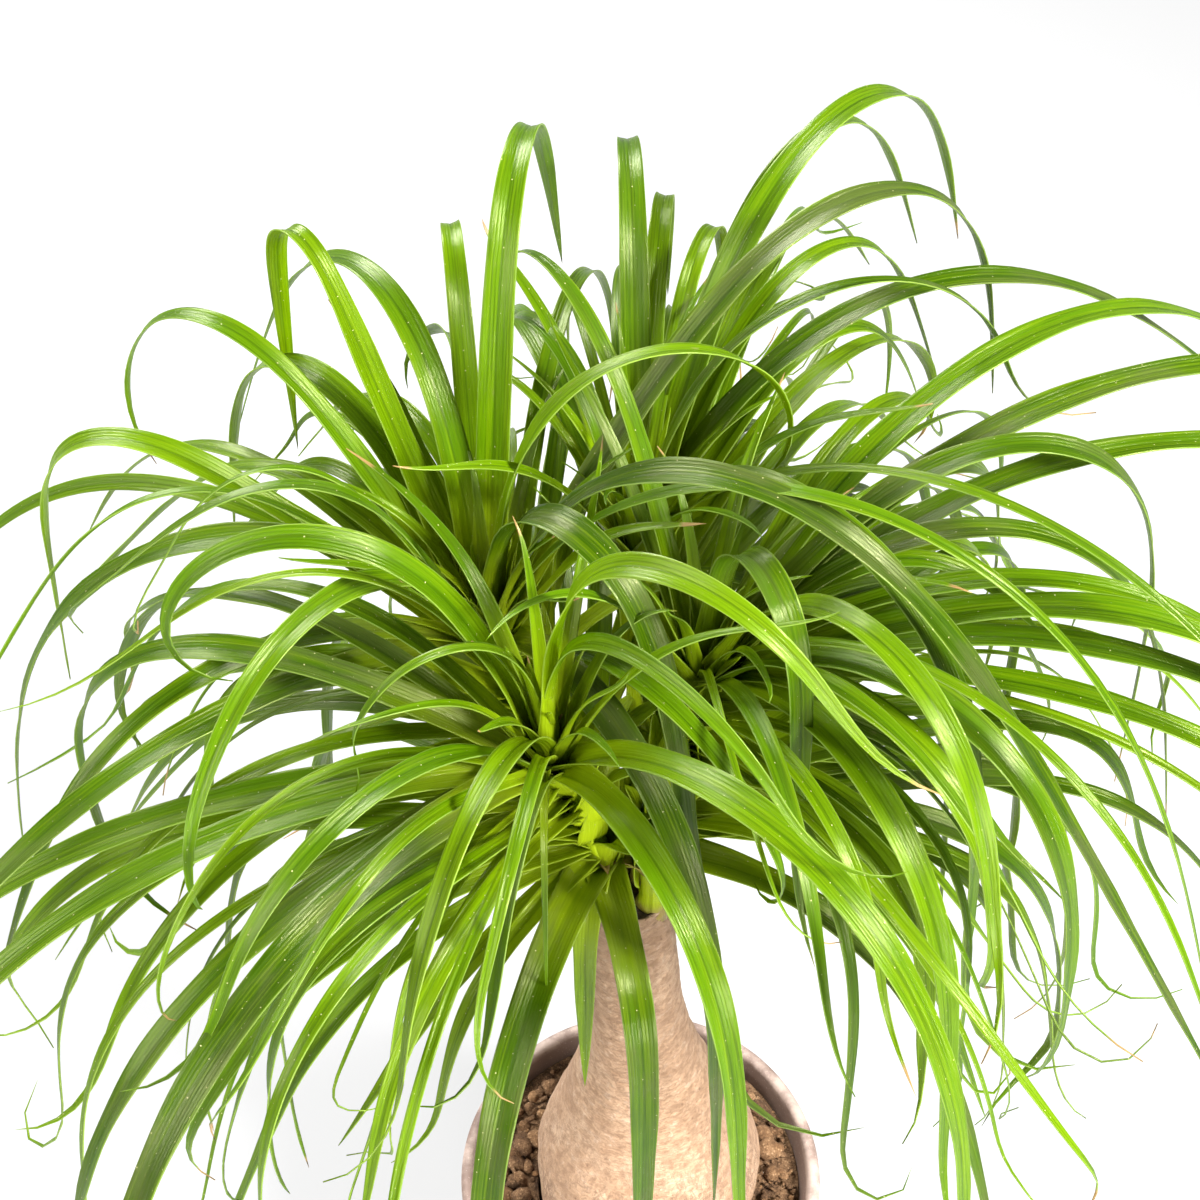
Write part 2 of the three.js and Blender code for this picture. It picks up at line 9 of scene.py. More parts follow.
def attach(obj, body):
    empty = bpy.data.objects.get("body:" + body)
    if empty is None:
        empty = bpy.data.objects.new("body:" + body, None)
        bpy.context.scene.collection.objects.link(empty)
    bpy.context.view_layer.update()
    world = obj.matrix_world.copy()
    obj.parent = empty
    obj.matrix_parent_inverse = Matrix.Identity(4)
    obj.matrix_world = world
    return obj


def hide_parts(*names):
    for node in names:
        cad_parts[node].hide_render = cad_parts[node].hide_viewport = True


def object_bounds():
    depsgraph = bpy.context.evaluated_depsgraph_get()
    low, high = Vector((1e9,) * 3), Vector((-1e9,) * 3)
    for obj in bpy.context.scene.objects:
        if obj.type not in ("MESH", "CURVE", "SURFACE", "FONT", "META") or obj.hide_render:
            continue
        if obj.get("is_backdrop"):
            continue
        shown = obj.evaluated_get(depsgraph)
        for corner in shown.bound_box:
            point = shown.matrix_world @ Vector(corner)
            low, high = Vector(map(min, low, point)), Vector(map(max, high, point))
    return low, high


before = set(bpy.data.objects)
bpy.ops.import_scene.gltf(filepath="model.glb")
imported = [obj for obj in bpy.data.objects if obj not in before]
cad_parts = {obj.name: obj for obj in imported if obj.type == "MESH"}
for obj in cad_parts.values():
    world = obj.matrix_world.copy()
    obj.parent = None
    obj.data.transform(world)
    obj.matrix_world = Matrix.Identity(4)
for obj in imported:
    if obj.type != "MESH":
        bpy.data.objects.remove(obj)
cad_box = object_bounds()

# Camera: an eye above the front that looks down on the leaves, with a short telephoto lens, so that
# the crown fills the picture and the lower edge cuts the pot.
CAMERA_PLACE = (-0.0215, -0.5519, 1.3585)
CAMERA_TILT = 38.4
CAMERA_LENS = 72
camera_data = bpy.data.cameras.new("camera")
camera_data.lens = CAMERA_LENS
camera_data.sensor_width = 36
camera = bpy.data.objects.new("camera", camera_data)
camera.location = CAMERA_PLACE
camera.rotation_euler = (math.radians(CAMERA_TILT), 0, 0)
bpy.context.scene.collection.objects.link(camera)
bpy.context.scene.camera = camera
bpy.context.scene.view_settings.view_transform = "Standard"

# Studio: a plain white room with large soft lamps. The main one is to the right of the camera, a wide
# one fills from the left, one behind shines through the leaves and a small one stands low in front.
# Each lamp is given by its place, its width in metres and its power in watts.
ROOM_LIGHT = 0.42
LAMPS = {
    "key": ((1.25, -0.75, 1.75), 0.55, 178),
    "fill": ((-1.5, -0.8, 1.2), 1.3, 62),
    "rear": ((-0.7, 1.25, 1.5), 0.9, 86),
    "front": ((0.35, -1.7, 0.35), 0.7, 48),
}
LAMPS_AIM = Vector((0, 0, 0.45))
world = bpy.data.worlds.new("room")
world.use_nodes = True
world.node_tree.nodes["Background"].inputs["Color"].default_value = (1.0, 1.0, 1.0, 1)
world.node_tree.nodes["Background"].inputs["Strength"].default_value = ROOM_LIGHT
bpy.context.scene.world = world
for lamp_name, (place, width, power) in LAMPS.items():
    lamp_data = bpy.data.lights.new(lamp_name, "AREA")
    lamp_data.shape = "DISK"
    lamp_data.size = width
    lamp_data.energy = power
    lamp = bpy.data.objects.new(lamp_name, lamp_data)
    lamp.location = place
    lamp.rotation_euler = (LAMPS_AIM - Vector(place)).to_track_quat("-Z", "Y").to_euler()
    bpy.context.scene.collection.objects.link(lamp)

# Floor: a plain white table top, far wider than the plant, just under the pot.
FLOOR_RADIUS = 8.0
FLOOR_DROP = 0.0005
FLOOR_SIDES = 96
FLOOR_GREY = 0.17
FLOOR_GLOW = 0.33
floor_bm = bmesh.new()
bmesh.ops.create_circle(floor_bm, cap_ends=True, segments=FLOOR_SIDES, radius=FLOOR_RADIUS)
bmesh.ops.translate(floor_bm, verts=floor_bm.verts, vec=(0, 0, -FLOOR_DROP))
floor_mesh = bpy.data.meshes.new("floor")
floor_bm.to_mesh(floor_mesh)
floor_bm.free()
floor = bpy.data.objects.new("floor", floor_mesh)
bpy.context.scene.collection.objects.link(floor)
floor_paint = bpy.data.materials.new("floor_white")
floor_paint.use_nodes = True
floor_shader = floor_paint.node_tree.nodes["Principled BSDF"]
floor_shader.inputs["Base Color"].default_value = (FLOOR_GREY, FLOOR_GREY, FLOOR_GREY, 1)
floor_shader.inputs["Roughness"].default_value = 0.8
floor_shader.inputs["Emission Color"].default_value = (1.0, 1.0, 1.0, 1)
floor_shader.inputs["Emission Strength"].default_value = FLOOR_GLOW
floor_mesh.materials.append(floor_paint)
floor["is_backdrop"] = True

# Pot: a round planter of matt taupe stoneware. Its wall tapers down from a thick rounded lip that
# stands a little proud. It is turned in one piece, and four drain holes go through its floor.
MM = 0.001
POT_HEIGHT = 175
POT_RIM_RADIUS = 95
POT_BASE_RADIUS = 66
POT_WALL = 5
POT_FLOOR = 7
LIP_WIDTH = 7
LIP_HEIGHT = 14
LIP_OVERHANG = 3
LIP_STEPS = 14
POT_SIDES = 128
DRAIN_RADIUS = 5
DRAIN_RING = 36
DRAIN_COUNT = 4
DRAIN_SIDES = 32


def turn(bm, profile, sides):
    """Spins a section of radius and height pairs about the upright axis."""
    chain = [bm.verts.new((radius, 0, height)) for radius, height in profile]
    edges = [bm.edges.new(pair) for pair in zip(chain, chain[1:])]
    bmesh.ops.spin(bm, geom=chain + edges, cent=(0, 0, 0), axis=(0, 0, 1), angle=2 * math.pi, steps=sides,
                   use_merge=True)
    bmesh.ops.remove_doubles(bm, verts=bm.verts, dist=0.001)
    bmesh.ops.recalc_face_normals(bm, faces=bm.faces)


def make_piece(bm, name, material, nodes):
    """Brings a bmesh in millimetres to its metres and sets it up as a piece of the plant."""
    bmesh.ops.scale(bm, vec=(MM, MM, MM), verts=bm.verts)
    for face in bm.faces:
        face.smooth = True
    mesh = bpy.data.meshes.new(name)
    bm.to_mesh(mesh)
    bm.free()
    mesh.materials.append(material)
    piece = bpy.data.objects.new(name, mesh)
    bpy.context.scene.collection.objects.link(piece)
    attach(piece, "root")
    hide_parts(*nodes)
    return piece


def plug(node, sockets):
    """Gives each of the node's sockets its link or its value."""
    for key, value in sockets.items():
        if isinstance(value, bpy.types.NodeSocket):
            node.id_data.links.new(value, node.inputs[key])
        else:
            node.inputs[key].default_value = value


def new_material(name):
    """A material and a short way to add nodes to it, with values or links for their sockets."""
    material = bpy.data.materials.new(name)
    material.use_nodes = True

    def add(kind, sockets, **settings):
        node = material.node_tree.nodes.new("ShaderNode" + kind)
        for key, value in settings.items():
            setattr(node, key, value)
        plug(node, sockets)
        return node

    return material, add


def coat(material, colour, bump, roughness, specular):
    """Feeds the material's own shader and returns it."""
    shader = material.node_tree.nodes["Principled BSDF"]
    plug(shader, {"Base Color": colour, "Normal": bump})
    plug(shader, {"Roughness": roughness, "Specular IOR Level": specular})
    return shader


def calc(add, operation, *values):
    """One step of arithmetic on numbers or sockets."""
    return add("Math", dict(enumerate(values)), operation=operation).outputs[0]


def ramp(add, factor, stops):
    """Colours laid out along the factor, from pairs of place and colour."""
    node = add("ValToRGB", {"Fac": factor})
    points = node.color_ramp.elements
    while len(points) < len(stops):
        points.new(1)
    for point, (place, colour) in zip(points, stops):
        point.position = place
        point.color = (*colour, 1)
    return node.outputs["Color"]


def blend(add, factor, first, second, mode="MIX"):
    """The first colour where the factor is 0 and the second where it is 1."""
    sockets = {0: factor, 6: first, 7: second}
    sockets = {key: (*value, 1) if isinstance(value, tuple) else value for key, value in sockets.items()}
    return add("Mix", sockets, data_type="RGBA", blend_type=mode).outputs[2]


def grainy(add, vector, scale, detail, roughness, distortion=0.0):
    """Fine noise about 0.5, with grains about 1 / scale metres wide."""
    sockets = {"Vector": vector, "Scale": scale, "Detail": detail, "Roughness": roughness}
    return add("TexNoise", {**sockets, "Distortion": distortion}).outputs["Fac"]


def fade(add, value, low, high):
    """Rises smoothly from 0 to 1 as the value goes from low to high."""
    sockets = {0: value, 1: low, 2: high, 3: 0.0, 4: 1.0}
    return add("MapRange", sockets, interpolation_type="SMOOTHSTEP").outputs[0]


def paint(add, base, colour, mask, strength):
    """Lays a colour over the base where the mask is, at most as strongly as strength says."""
    return blend(add, calc(add, "MULTIPLY", mask, strength), base, colour)


def pot_outer(z):
    """Radius of the wall's outside at a height; pot_inner gives its inside."""
    return POT_BASE_RADIUS + (POT_RIM_RADIUS - LIP_OVERHANG - POT_BASE_RADIUS) * z / POT_HEIGHT


def pot_inner(z):
    return pot_outer(z) - POT_WALL


lip_bottom = POT_HEIGHT - LIP_HEIGHT
pot_section = [(0, 0), (POT_BASE_RADIUS - 3, 0)]
pot_section += [(POT_BASE_RADIUS - 1.2, 0.4), (POT_BASE_RADIUS - 0.3, 1.4)]
pot_section += [(pot_outer(z), z) for z in (3, 30, 60, 90, 120, 145, lip_bottom - 4)]
pot_section += [(pot_outer(lip_bottom - 3), lip_bottom - 3), (POT_RIM_RADIUS - 1.6, lip_bottom - 1.2)]
pot_section += [(POT_RIM_RADIUS - 0.4, lip_bottom + 0.2), (POT_RIM_RADIUS, lip_bottom + 2)]
for i in range(LIP_STEPS + 1):
    bend = math.pi * i / LIP_STEPS
    pot_section.append((POT_RIM_RADIUS - LIP_WIDTH / 2 * (1 - math.cos(bend)),
                        POT_HEIGHT - LIP_WIDTH / 2 * (1 - math.sin(bend))))
pot_section += [(pot_inner(z), z) for z in (lip_bottom - 3, 120, 80, 40, POT_FLOOR + 5)]
floor_edge = pot_inner(POT_FLOOR)
pot_section += [(floor_edge - 1.2, POT_FLOOR + 1.4), (floor_edge - 4, POT_FLOOR), (0, POT_FLOOR)]

stoneware, add = new_material("matt_stoneware")
place = add("TexCoord", {}).outputs["Object"]
grain = grainy(add, place, 2600.0, 4.0, 0.7)
blotch = grainy(add, place, 42.0, 6.0, 0.62)
flat_place = add("Mapping", {"Vector": place, "Scale": (0.02, 0.02, 1.0)}).outputs[0]
throwing = grainy(add, flat_place, 900.0, 3.0, 0.5)
speckle = add("TexVoronoi", {"Vector": place, "Scale": 620.0}).outputs["Distance"]
clay = ramp(add, blotch, [(0.3, (0.115, 0.0756, 0.0598)), (0.55, (0.162, 0.112, 0.09)),
                          (0.75, (0.209, 0.148, 0.121))])
clay = paint(add, clay, (0.14, 0.095, 0.075), grain, 0.35)
clay = paint(add, clay, (0.46, 0.36, 0.3), fade(add, speckle, 0.24, 0.1), 0.35)
height = add("SeparateXYZ", {0: place}).outputs[2]
dust = calc(add, "MULTIPLY", fade(add, height, 0.169, 0.1725), fade(add, blotch, 0.42, 0.62))
clay = paint(add, clay, (0.5, 0.4, 0.34), dust, 0.45)
stain = calc(add, "MULTIPLY", fade(add, height, 0.1685, 0.158), fade(add, blotch, 0.35, 0.6))
clay = paint(add, clay, (0.09, 0.058, 0.042), stain, 0.4)
relief = calc(add, "ADD", calc(add, "MULTIPLY", grain, 0.5), calc(add, "MULTIPLY", throwing, 0.9))
bump = add("Bump", {"Height": relief, "Distance": 0.00022, "Strength": 0.7}).outputs[0]
rough = add("MapRange", {0: blotch, 3: 0.5, 4: 0.72}).outputs[0]
coat(stoneware, clay, bump, rough, 0.32)

pot_bm = bmesh.new()
turn(pot_bm, pot_section, POT_SIDES)
pot = make_piece(pot_bm, "pot_shell", stoneware, ["pot"])
drain_bm = bmesh.new()
for i in range(DRAIN_COUNT):
    bearing = 2 * math.pi * (i + 0.5) / DRAIN_COUNT
    way = Vector((math.cos(bearing), math.sin(bearing), 0))
    there = Matrix.Translation(DRAIN_RING * MM * way)
    bmesh.ops.create_cone(drain_bm, cap_ends=True, segments=DRAIN_SIDES, radius1=DRAIN_RADIUS * MM,
                          radius2=DRAIN_RADIUS * MM, depth=4 * POT_FLOOR * MM, matrix=there)
drain_mesh = bpy.data.meshes.new("drains")
drain_bm.to_mesh(drain_mesh)
drain_bm.free()
drain_cutter = bpy.data.objects.new("drains", drain_mesh)
bpy.context.scene.collection.objects.link(drain_cutter)
cut = pot.modifiers.new("drains", "BOOLEAN")
cut.object = drain_cutter
bpy.context.view_layer.update()
pot_mesh = bpy.data.meshes.new_from_object(pot.evaluated_get(bpy.context.evaluated_depsgraph_get()))
pot.modifiers.clear()
pot.data = pot_mesh
bpy.data.objects.remove(drain_cutter)

# Soil: a loose potting mix of peat and composted bark that fills the pot to a finger's width under the
# lip and is pressed up against the swollen foot. One closed bed, with its top broken up into crumbs.
CLEARANCE = 0.3
SOIL_TOP = 161
SOIL_RINGS = 34
SOIL_SIDES = 256
HOLE_GAP = 1.2
TRUNK_BOTTOM = 112
TRUNK_TOP = 462
TRUNK_PROFILE = [
    (TRUNK_BOTTOM, 24), (120, 40), (134, 50), (155, 56), (188, 57.5), (213, 55.5), (240, 49), (270, 39),
    (305, 30), (335, 24.5), (365, 21.5), (410, 20.5), (TRUNK_TOP, 19.5),
]
TRUNK_LEAN = [(TRUNK_BOTTOM, 4), (188, 4), (TRUNK_TOP, -10)]


def trunk_spline(steps):
    """A smooth line through the foot's section: pairs of height and radius."""
    knots = [Vector((z, radius, 0)) for z, radius in TRUNK_PROFILE]
    knots = [2 * knots[0] - knots[1], *knots, 2 * knots[-1] - knots[-2]]
    line = []
    for a, b, c, d in zip(knots, knots[1:], knots[2:], knots[3:]):
        for i in range(steps):
            t = i / steps
            line.append(0.5 * (2 * b + (c - a) * t + (2 * a - 5 * b + 4 * c - d) * t * t
                               + (3 * b - a - 3 * c + d) * t**3))
    return [(p.x, p.y) for p in [*line, knots[-2]]]


TRUNK_LINE = np.array(trunk_spline(8))


def trunk_radius(z):
    """The trunk's radius at a height, before it swells to its sides."""
    return float(np.interp(z, TRUNK_LINE[:, 0], TRUNK_LINE[:, 1]))


def trunk_axis(z):
    """How far to the right the leaning trunk's middle is at a height."""
    return float(np.interp(z, *zip(*TRUNK_LEAN)))


def swell(bearing, z):
    """How much wider or narrower than round the grown trunk is on each side."""
    return 1 + 0.02 * math.sin(2 * bearing + 0.6) + 0.014 * math.sin(3 * bearing + z / 26)


def lumps(point, scale, seed):
    """Noise of two octaves, between about -1 and 1, whose lumps are scale millimetres apart."""
    place = Vector(point) / scale + Vector((seed, 0, 0))
    return noise.noise(place) + 0.5 * noise.noise(2.1 * place)


soil_edge = pot_inner(SOIL_TOP) - CLEARANCE
soil_bottom = POT_FLOOR + CLEARANCE
soil_section = [(0, soil_bottom), (pot_inner(soil_bottom) - 5, soil_bottom)]
soil_section += [(pot_inner(z) - CLEARANCE, z) for z in (13, 50, 90, 130, 150)]
bed_width = soil_edge - trunk_radius(SOIL_TOP) - HOLE_GAP
soil_section += [(soil_edge - bed_width * i / SOIL_RINGS, SOIL_TOP) for i in range(SOIL_RINGS + 1)]
soil_section += [(trunk_radius(z) + HOLE_GAP, z) for z in (155, 145, 134, 126, 120, 115)]
soil_section += [(trunk_radius(TRUNK_BOTTOM) + 0.8, TRUNK_BOTTOM - 0.8), (0, TRUNK_BOTTOM - 1)]

soil_bm = bmesh.new()
turn(soil_bm, soil_section, SOIL_SIDES)
for vert in soil_bm.verts:
    x, y, z = vert.co
    ring = math.hypot(x, y)
    if z > TRUNK_BOTTOM - 0.5 and ring < trunk_radius(z) + HOLE_GAP + 0.05:
        vert.co.x = x * swell(math.atan2(y, x), z) + trunk_axis(z)
        vert.co.y = y * swell(math.atan2(y, x), z)
    if z > SOIL_TOP - 0.1:
        near = math.exp(-(ring - trunk_radius(z)) / 5)
        crumb = 2.3 * lumps(vert.co, 16, 3) + 1.3 * lumps(vert.co, 6.5, 8)
        crumb += 0.7 * abs(lumps(vert.co, 3, 13))
        vert.co.z += min(1, (soil_edge - ring) / 3) * crumb + 2.2 * near - 0.6

potting_mix, add = new_material("potting_mix")
place = add("TexCoord", {}).outputs["Object"]
fine = grainy(add, place, 1500.0, 5.0, 0.72)
crumbs = add("TexVoronoi", {"Vector": place, "Scale": 520.0, "Randomness": 1.0}).outputs["Distance"]
patch = grainy(add, place, 95.0, 4.0, 0.6)
kind = add("Attribute", {}, attribute_name="kind").outputs["Fac"]
mixed = calc(add, "ADD", calc(add, "MULTIPLY", patch, 0.55), calc(add, "MULTIPLY", fine, 0.45))
earth = ramp(add, mixed, [(0.34, (0.0263, 0.015, 0.00825)), (0.45, (0.105, 0.06, 0.0315)),
                          (0.54, (0.24, 0.143, 0.075)), (0.65, (0.42, 0.277, 0.158))])
rusty = ramp(add, mixed, [(0.34, (0.15, 0.0713, 0.03)), (0.5, (0.352, 0.203, 0.0975)),
                          (0.66, (0.525, 0.345, 0.195))])
earth = blend(add, kind, earth, rusty)
# Painted shade: the gaps between the crumbs are darkened.
painted_gap_shade = fade(add, crumbs, 0.12, 0.4)
earth = blend(add, painted_gap_shade, earth, blend(add, 1.0, earth, (0.55, 0.5, 0.46), "MULTIPLY"))
relief = calc(add, "SUBTRACT", fine, calc(add, "MULTIPLY", crumbs, 0.8))
bump = add("Bump", {"Height": relief, "Distance": 0.0011, "Strength": 0.9}).outputs[0]
coat(potting_mix, earth, bump, 0.92, 0.2)
make_piece(soil_bm, "soil_bed", potting_mix, ["soil"])

# Crumbs and bark chips: loose lumps of the mix, a few millimetres to a centimetre, that lie half sunk
# on the bed between the foot and the pot's wall. Some are rusty pieces of bark, a few thin splinters.
GOLDEN_ANGLE = 137.5
CLOD_COUNT = 210
GRIT_COUNT = 430
CHIP_COUNT = 60
CRUMB_SEED = 97


def seeded_draw(seed):
    """A draw that gives the same numbers on every run."""
    state = seed

    def draw(middle, spread):
        nonlocal state
        state = (state * 16807) % 2147483647
        return middle + spread * (2 * state / 2147483647 - 1)

    return draw


draw = seeded_draw(CRUMB_SEED)
crumb_bm = bmesh.new()
kind_tag = crumb_bm.verts.layers.float.new("kind")
for i in range(CLOD_COUNT + GRIT_COUNT + CHIP_COUNT):
    bearing = math.radians(i * GOLDEN_ANGLE + draw(0, 20))
    inner = trunk_radius(SOIL_TOP + 3) * swell(bearing, SOIL_TOP) + trunk_axis(SOIL_TOP) * math.cos(bearing)
    if i < CLOD_COUNT:
        size = draw(4.2, 2.6)
        lump = bmesh.ops.create_icosphere(crumb_bm, subdivisions=2, radius=size)["verts"]
        flatness = draw(0.72, 0.16)
    elif i < CLOD_COUNT + GRIT_COUNT:
        size = draw(1.3, 0.7)
        lump = bmesh.ops.create_icosphere(crumb_bm, subdivisions=1, radius=size)["verts"]
        flatness = draw(0.8, 0.2)
    else:
        size = draw(4.4, 1.8)
        lump = bmesh.ops.create_cube(crumb_bm, size=size)["verts"]
        bmesh.ops.scale(crumb_bm, vec=(1.5, 0.5, 0.28), verts=lump)
        flatness = 1
    ring = inner + size + 0.6 + (soil_edge - inner - 2 * size - 1.2) * draw(0.5, 0.5)
    shade = draw(0.5, 0.5) ** 2
    for vert in lump:
        vert.co *= 1 + 0.36 * lumps(vert.co + Vector((7.0 * i, 0, 0)), 0.9 * size, 5)
        vert[kind_tag] = shade
    bmesh.ops.scale(crumb_bm, vec=(1, draw(0.85, 0.15), flatness), verts=lump)
    spin = Euler((draw(0, 0.5), draw(0, 0.5), draw(0, 3.1))).to_matrix()
    bmesh.ops.rotate(crumb_bm, matrix=spin, verts=lump)
    high = SOIL_TOP + draw(0.9, 1.5) + 0.25 * size
    bmesh.ops.translate(crumb_bm, vec=(ring * math.cos(bearing), ring * math.sin(bearing), high), verts=lump)
make_piece(crumb_bm, "soil_crumbs", potting_mix, ["soil"])

# Trunk: the plant's own swollen foot, which narrows to a neck and was sawn off at its top. Its bark is
# thin and peach-tan, with slanting scars round the neck and short upright cracks low on the foot.
BARK_RINGS = 230
BARK_SIDES = 208
CUT_EDGE_ROUNDING = 1.6
PITH_RADIUS = 8.5
PITH_DEPTH = 6
FOOT_TOP = 300
FOOT_FADE = 60
SCAR_SPACING = 8.4
SCAR_DEPTH = 0.55
CRACK_DEPTH = 0.55
SHOULDER_BEARING = math.radians(-8)
SHOULDER_SPREAD = 0.55
SHOULDER_HEIGHT = 292
SHOULDER_TALLNESS = 13
SHOULDER_RISE = 2.6
BUD_BEARING = math.radians(-72)
BUD_HEIGHT = 421
BUD_RING = 3.4

bark_heights = np.linspace(TRUNK_BOTTOM, TRUNK_TOP - CUT_EDGE_ROUNDING, BARK_RINGS)
trunk_section = [(0, TRUNK_BOTTOM), (12, TRUNK_BOTTOM)] + [(trunk_radius(z), z) for z in bark_heights]
rim = trunk_radius(TRUNK_TOP)
trunk_section += [(rim - 0.3, TRUNK_TOP - 0.7), (rim - 0.9, TRUNK_TOP - 0.15), (rim - 1.8, TRUNK_TOP)]
trunk_section += [(rim - 2.6, TRUNK_TOP - 0.7), (rim - 3.2, TRUNK_TOP - 1.5)]
trunk_section += [(radius, TRUNK_TOP - 1.6) for radius in (14.5, 13, 11.6, 10.4)]
trunk_section += [(PITH_RADIUS, TRUNK_TOP - 2.6), (PITH_RADIUS - 1.2, TRUNK_TOP - 4.4)]
trunk_section += [(radius, TRUNK_TOP - PITH_DEPTH) for radius in (6, 4.5, 3, 1.5, 0)]

trunk_bm = bmesh.new()
turn(trunk_bm, trunk_section, BARK_SIDES)
worn_tag = trunk_bm.verts.layers.float.new("worn")
cut_tag = trunk_bm.verts.layers.float.new("cut")
for vert in trunk_bm.verts:
    x, y, z = vert.co
    bearing = math.atan2(y, x)
    ring = math.hypot(x, y)
    side = ring > rim - 1 and z > TRUNK_BOTTOM + 1
    out = 0.0
    if side:
        point = (x, y, z)
        foot = min(1, max(0, (FOOT_TOP - z) / FOOT_FADE))
        slant = z + 9 * math.sin(bearing + 0.7) + 2.5 * lumps((x, y, 0.4 * z), 22, 2)
        scar = abs((slant / SCAR_SPACING + 0.35 * lumps(point, 18, 31)) % 1 - 0.5) * 2
        out += (1 - foot) * SCAR_DEPTH * (min(1, scar * 2.4) - 1)
        out += (1 - foot) * 0.5 * lumps((1.4 * x, 1.4 * y, 0.7 * slant), 11, 9)
        out += foot * (1.3 * lumps(point, 34, 4) + 0.45 * lumps(point, 11, 6))
        crack = abs(lumps((bearing * 46, 0, 0.22 * z), 3.6, 12))
        cracked = max(0, lumps((x, y, 0.5 * z), 26, 15) + 0.45)
        out -= foot * CRACK_DEPTH * max(0, 1 - crack / 0.16) * cracked
        away = (bearing - SHOULDER_BEARING + math.pi) % (2 * math.pi) - math.pi
        above = (z - SHOULDER_HEIGHT) / SHOULDER_TALLNESS
        out += SHOULDER_RISE * math.exp(-((away / SHOULDER_SPREAD) ** 2) - above**2)
        away = (bearing - BUD_BEARING) * ring
        near = math.hypot(away, 0.8 * (z - BUD_HEIGHT))
        out += 1.1 * math.exp(-((near - BUD_RING) ** 2) / 1.6) - 1.3 * math.exp(-((near / 1.9) ** 2))
        vert[worn_tag] = max(0, 1 - crack / 0.3) * foot
    wider = swell(bearing, z)
    vert.co.x = x * wider + trunk_axis(z) + out * math.cos(bearing)
    vert.co.y = y * wider + out * math.sin(bearing)
    if z > TRUNK_TOP - 3 and ring < rim - 2.5:
        vert.co.z += 0.5 * lumps(vert.co, 4, 21)
    if z > TRUNK_TOP - 8 and ring < rim - 1.5:
        vert[cut_tag] = 1

bark, add = new_material("caudex_bark")
place = add("TexCoord", {}).outputs["Object"]
_, _, height = add("SeparateXYZ", {0: place}).outputs
low = fade(add, height, 0.3, 0.2)
level = add("Mapping", {"Vector": place, "Rotation": (0.2, 0.14, 0.0), "Scale": (0.3, 0.3, 1.0)}).outputs[0]
upright = add("Mapping", {"Vector": place, "Scale": (1.0, 1.0, 0.3)}).outputs[0]
wrinkles = grainy(add, level, 640.0, 4.0, 0.62, 0.2)
cracks = grainy(add, upright, 330.0, 4.0, 0.6, 0.8)
fibre = grainy(add, place, 1300.0, 4.0, 0.7)
blotch = grainy(add, place, 30.0, 5.0, 0.6)
clouds = grainy(add, place, 190.0, 4.0, 0.6)
pores = add("TexVoronoi", {"Vector": upright, "Scale": 260.0})
peach = ramp(add, blotch, [(0.3, (0.24, 0.142, 0.08)), (0.5, (0.32, 0.202, 0.12)),
                           (0.7, (0.38, 0.258, 0.165))])
peach = paint(add, peach, (0.2, 0.112, 0.06), fade(add, clouds, 0.52, 0.38), 0.6)
peach = paint(add, peach, (0.43, 0.32, 0.23), fade(add, clouds, 0.56, 0.68), 0.4)
creased = calc(add, "SUBTRACT", 1.0, calc(add, "ABSOLUTE", calc(add, "MULTIPLY_ADD", wrinkles, 14.0, -7.0)))
creased = calc(add, "MULTIPLY", fade(add, creased, 0.1, 1.0), calc(add, "MULTIPLY_ADD", low, -0.55, 1.0))
peach = paint(add, peach, (0.18, 0.1, 0.057), creased, 0.36)
cracked = calc(add, "SUBTRACT", 1.0, calc(add, "ABSOLUTE", calc(add, "MULTIPLY_ADD", cracks, 16.0, -8.0)))
patchy = calc(add, "MULTIPLY", low, fade(add, blotch, 0.38, 0.6))
cracked = calc(add, "MULTIPLY", fade(add, cracked, 0.2, 1.0), patchy)
peach = paint(add, peach, (0.12, 0.066, 0.038), cracked, 0.85)
worn = add("Attribute", {}, attribute_name="worn").outputs["Fac"]
peach = paint(add, peach, (0.17, 0.095, 0.055), worn, 0.45)
pit = calc(add, "MULTIPLY", fade(add, pores.outputs["Distance"], 0.16, 0.06), fade(add, clouds, 0.52, 0.42))
peach = paint(add, peach, (0.15, 0.08, 0.045), pit, 0.75)
speckled = calc(add, "MULTIPLY", fade(add, fibre, 0.6, 0.7), calc(add, "MULTIPLY_ADD", low, 0.5, 0.2))
peach = blend(add, speckled, peach, (0.16, 0.09, 0.055))
damp = calc(add, "MULTIPLY", fade(add, height, 0.172, 0.158), fade(add, fibre, 0.3, 0.5))
peach = paint(add, peach, (0.0936, 0.054, 0.0288), damp, 0.7)
sawn = add("Attribute", {}, attribute_name="cut").outputs["Fac"]
grooves = grainy(add, place, 900.0, 5.0, 0.7)
pith = ramp(add, grooves, [(0.35, (0.012, 0.008, 0.006)), (0.6, (0.07, 0.04, 0.025)),
                           (0.75, (0.2, 0.12, 0.07))])
peach = blend(add, sawn, peach, pith)
relief = calc(add, "ADD", calc(add, "MULTIPLY", fibre, 0.5), calc(add, "MULTIPLY", clouds, 1.2))
relief = calc(add, "SUBTRACT", relief, calc(add, "MULTIPLY", calc(add, "ADD", creased, cracked), 0.35))
relief = calc(add, "SUBTRACT", relief, calc(add, "MULTIPLY", pit, 0.5))
bump = add("Bump", {"Height": relief, "Distance": 0.0009, "Strength": 0.85}).outputs[0]
coat(bark, peach, bump, 0.74, 0.3)
make_piece(trunk_bm, "trunk_bark", bark, ["trunk"])

# Leafy shoots, first their lines: each is a short green stem that grew out of the cut top and bends out
# to its crown. Each row gives its name, foot, crown and number of leaves, in millimetres.
STEM_STRAIGHT = 20
SHOOTS = [
    ("front_left", (-20, -7), (-42, -22, 590), 18),
    ("back_left", (-16, 10), (-68, 52, 572), 24),
    ("back", (-1, 9), (-6, 84, 596), 26),
    ("right", (1, -7), (20, 22, 588), 26),
]


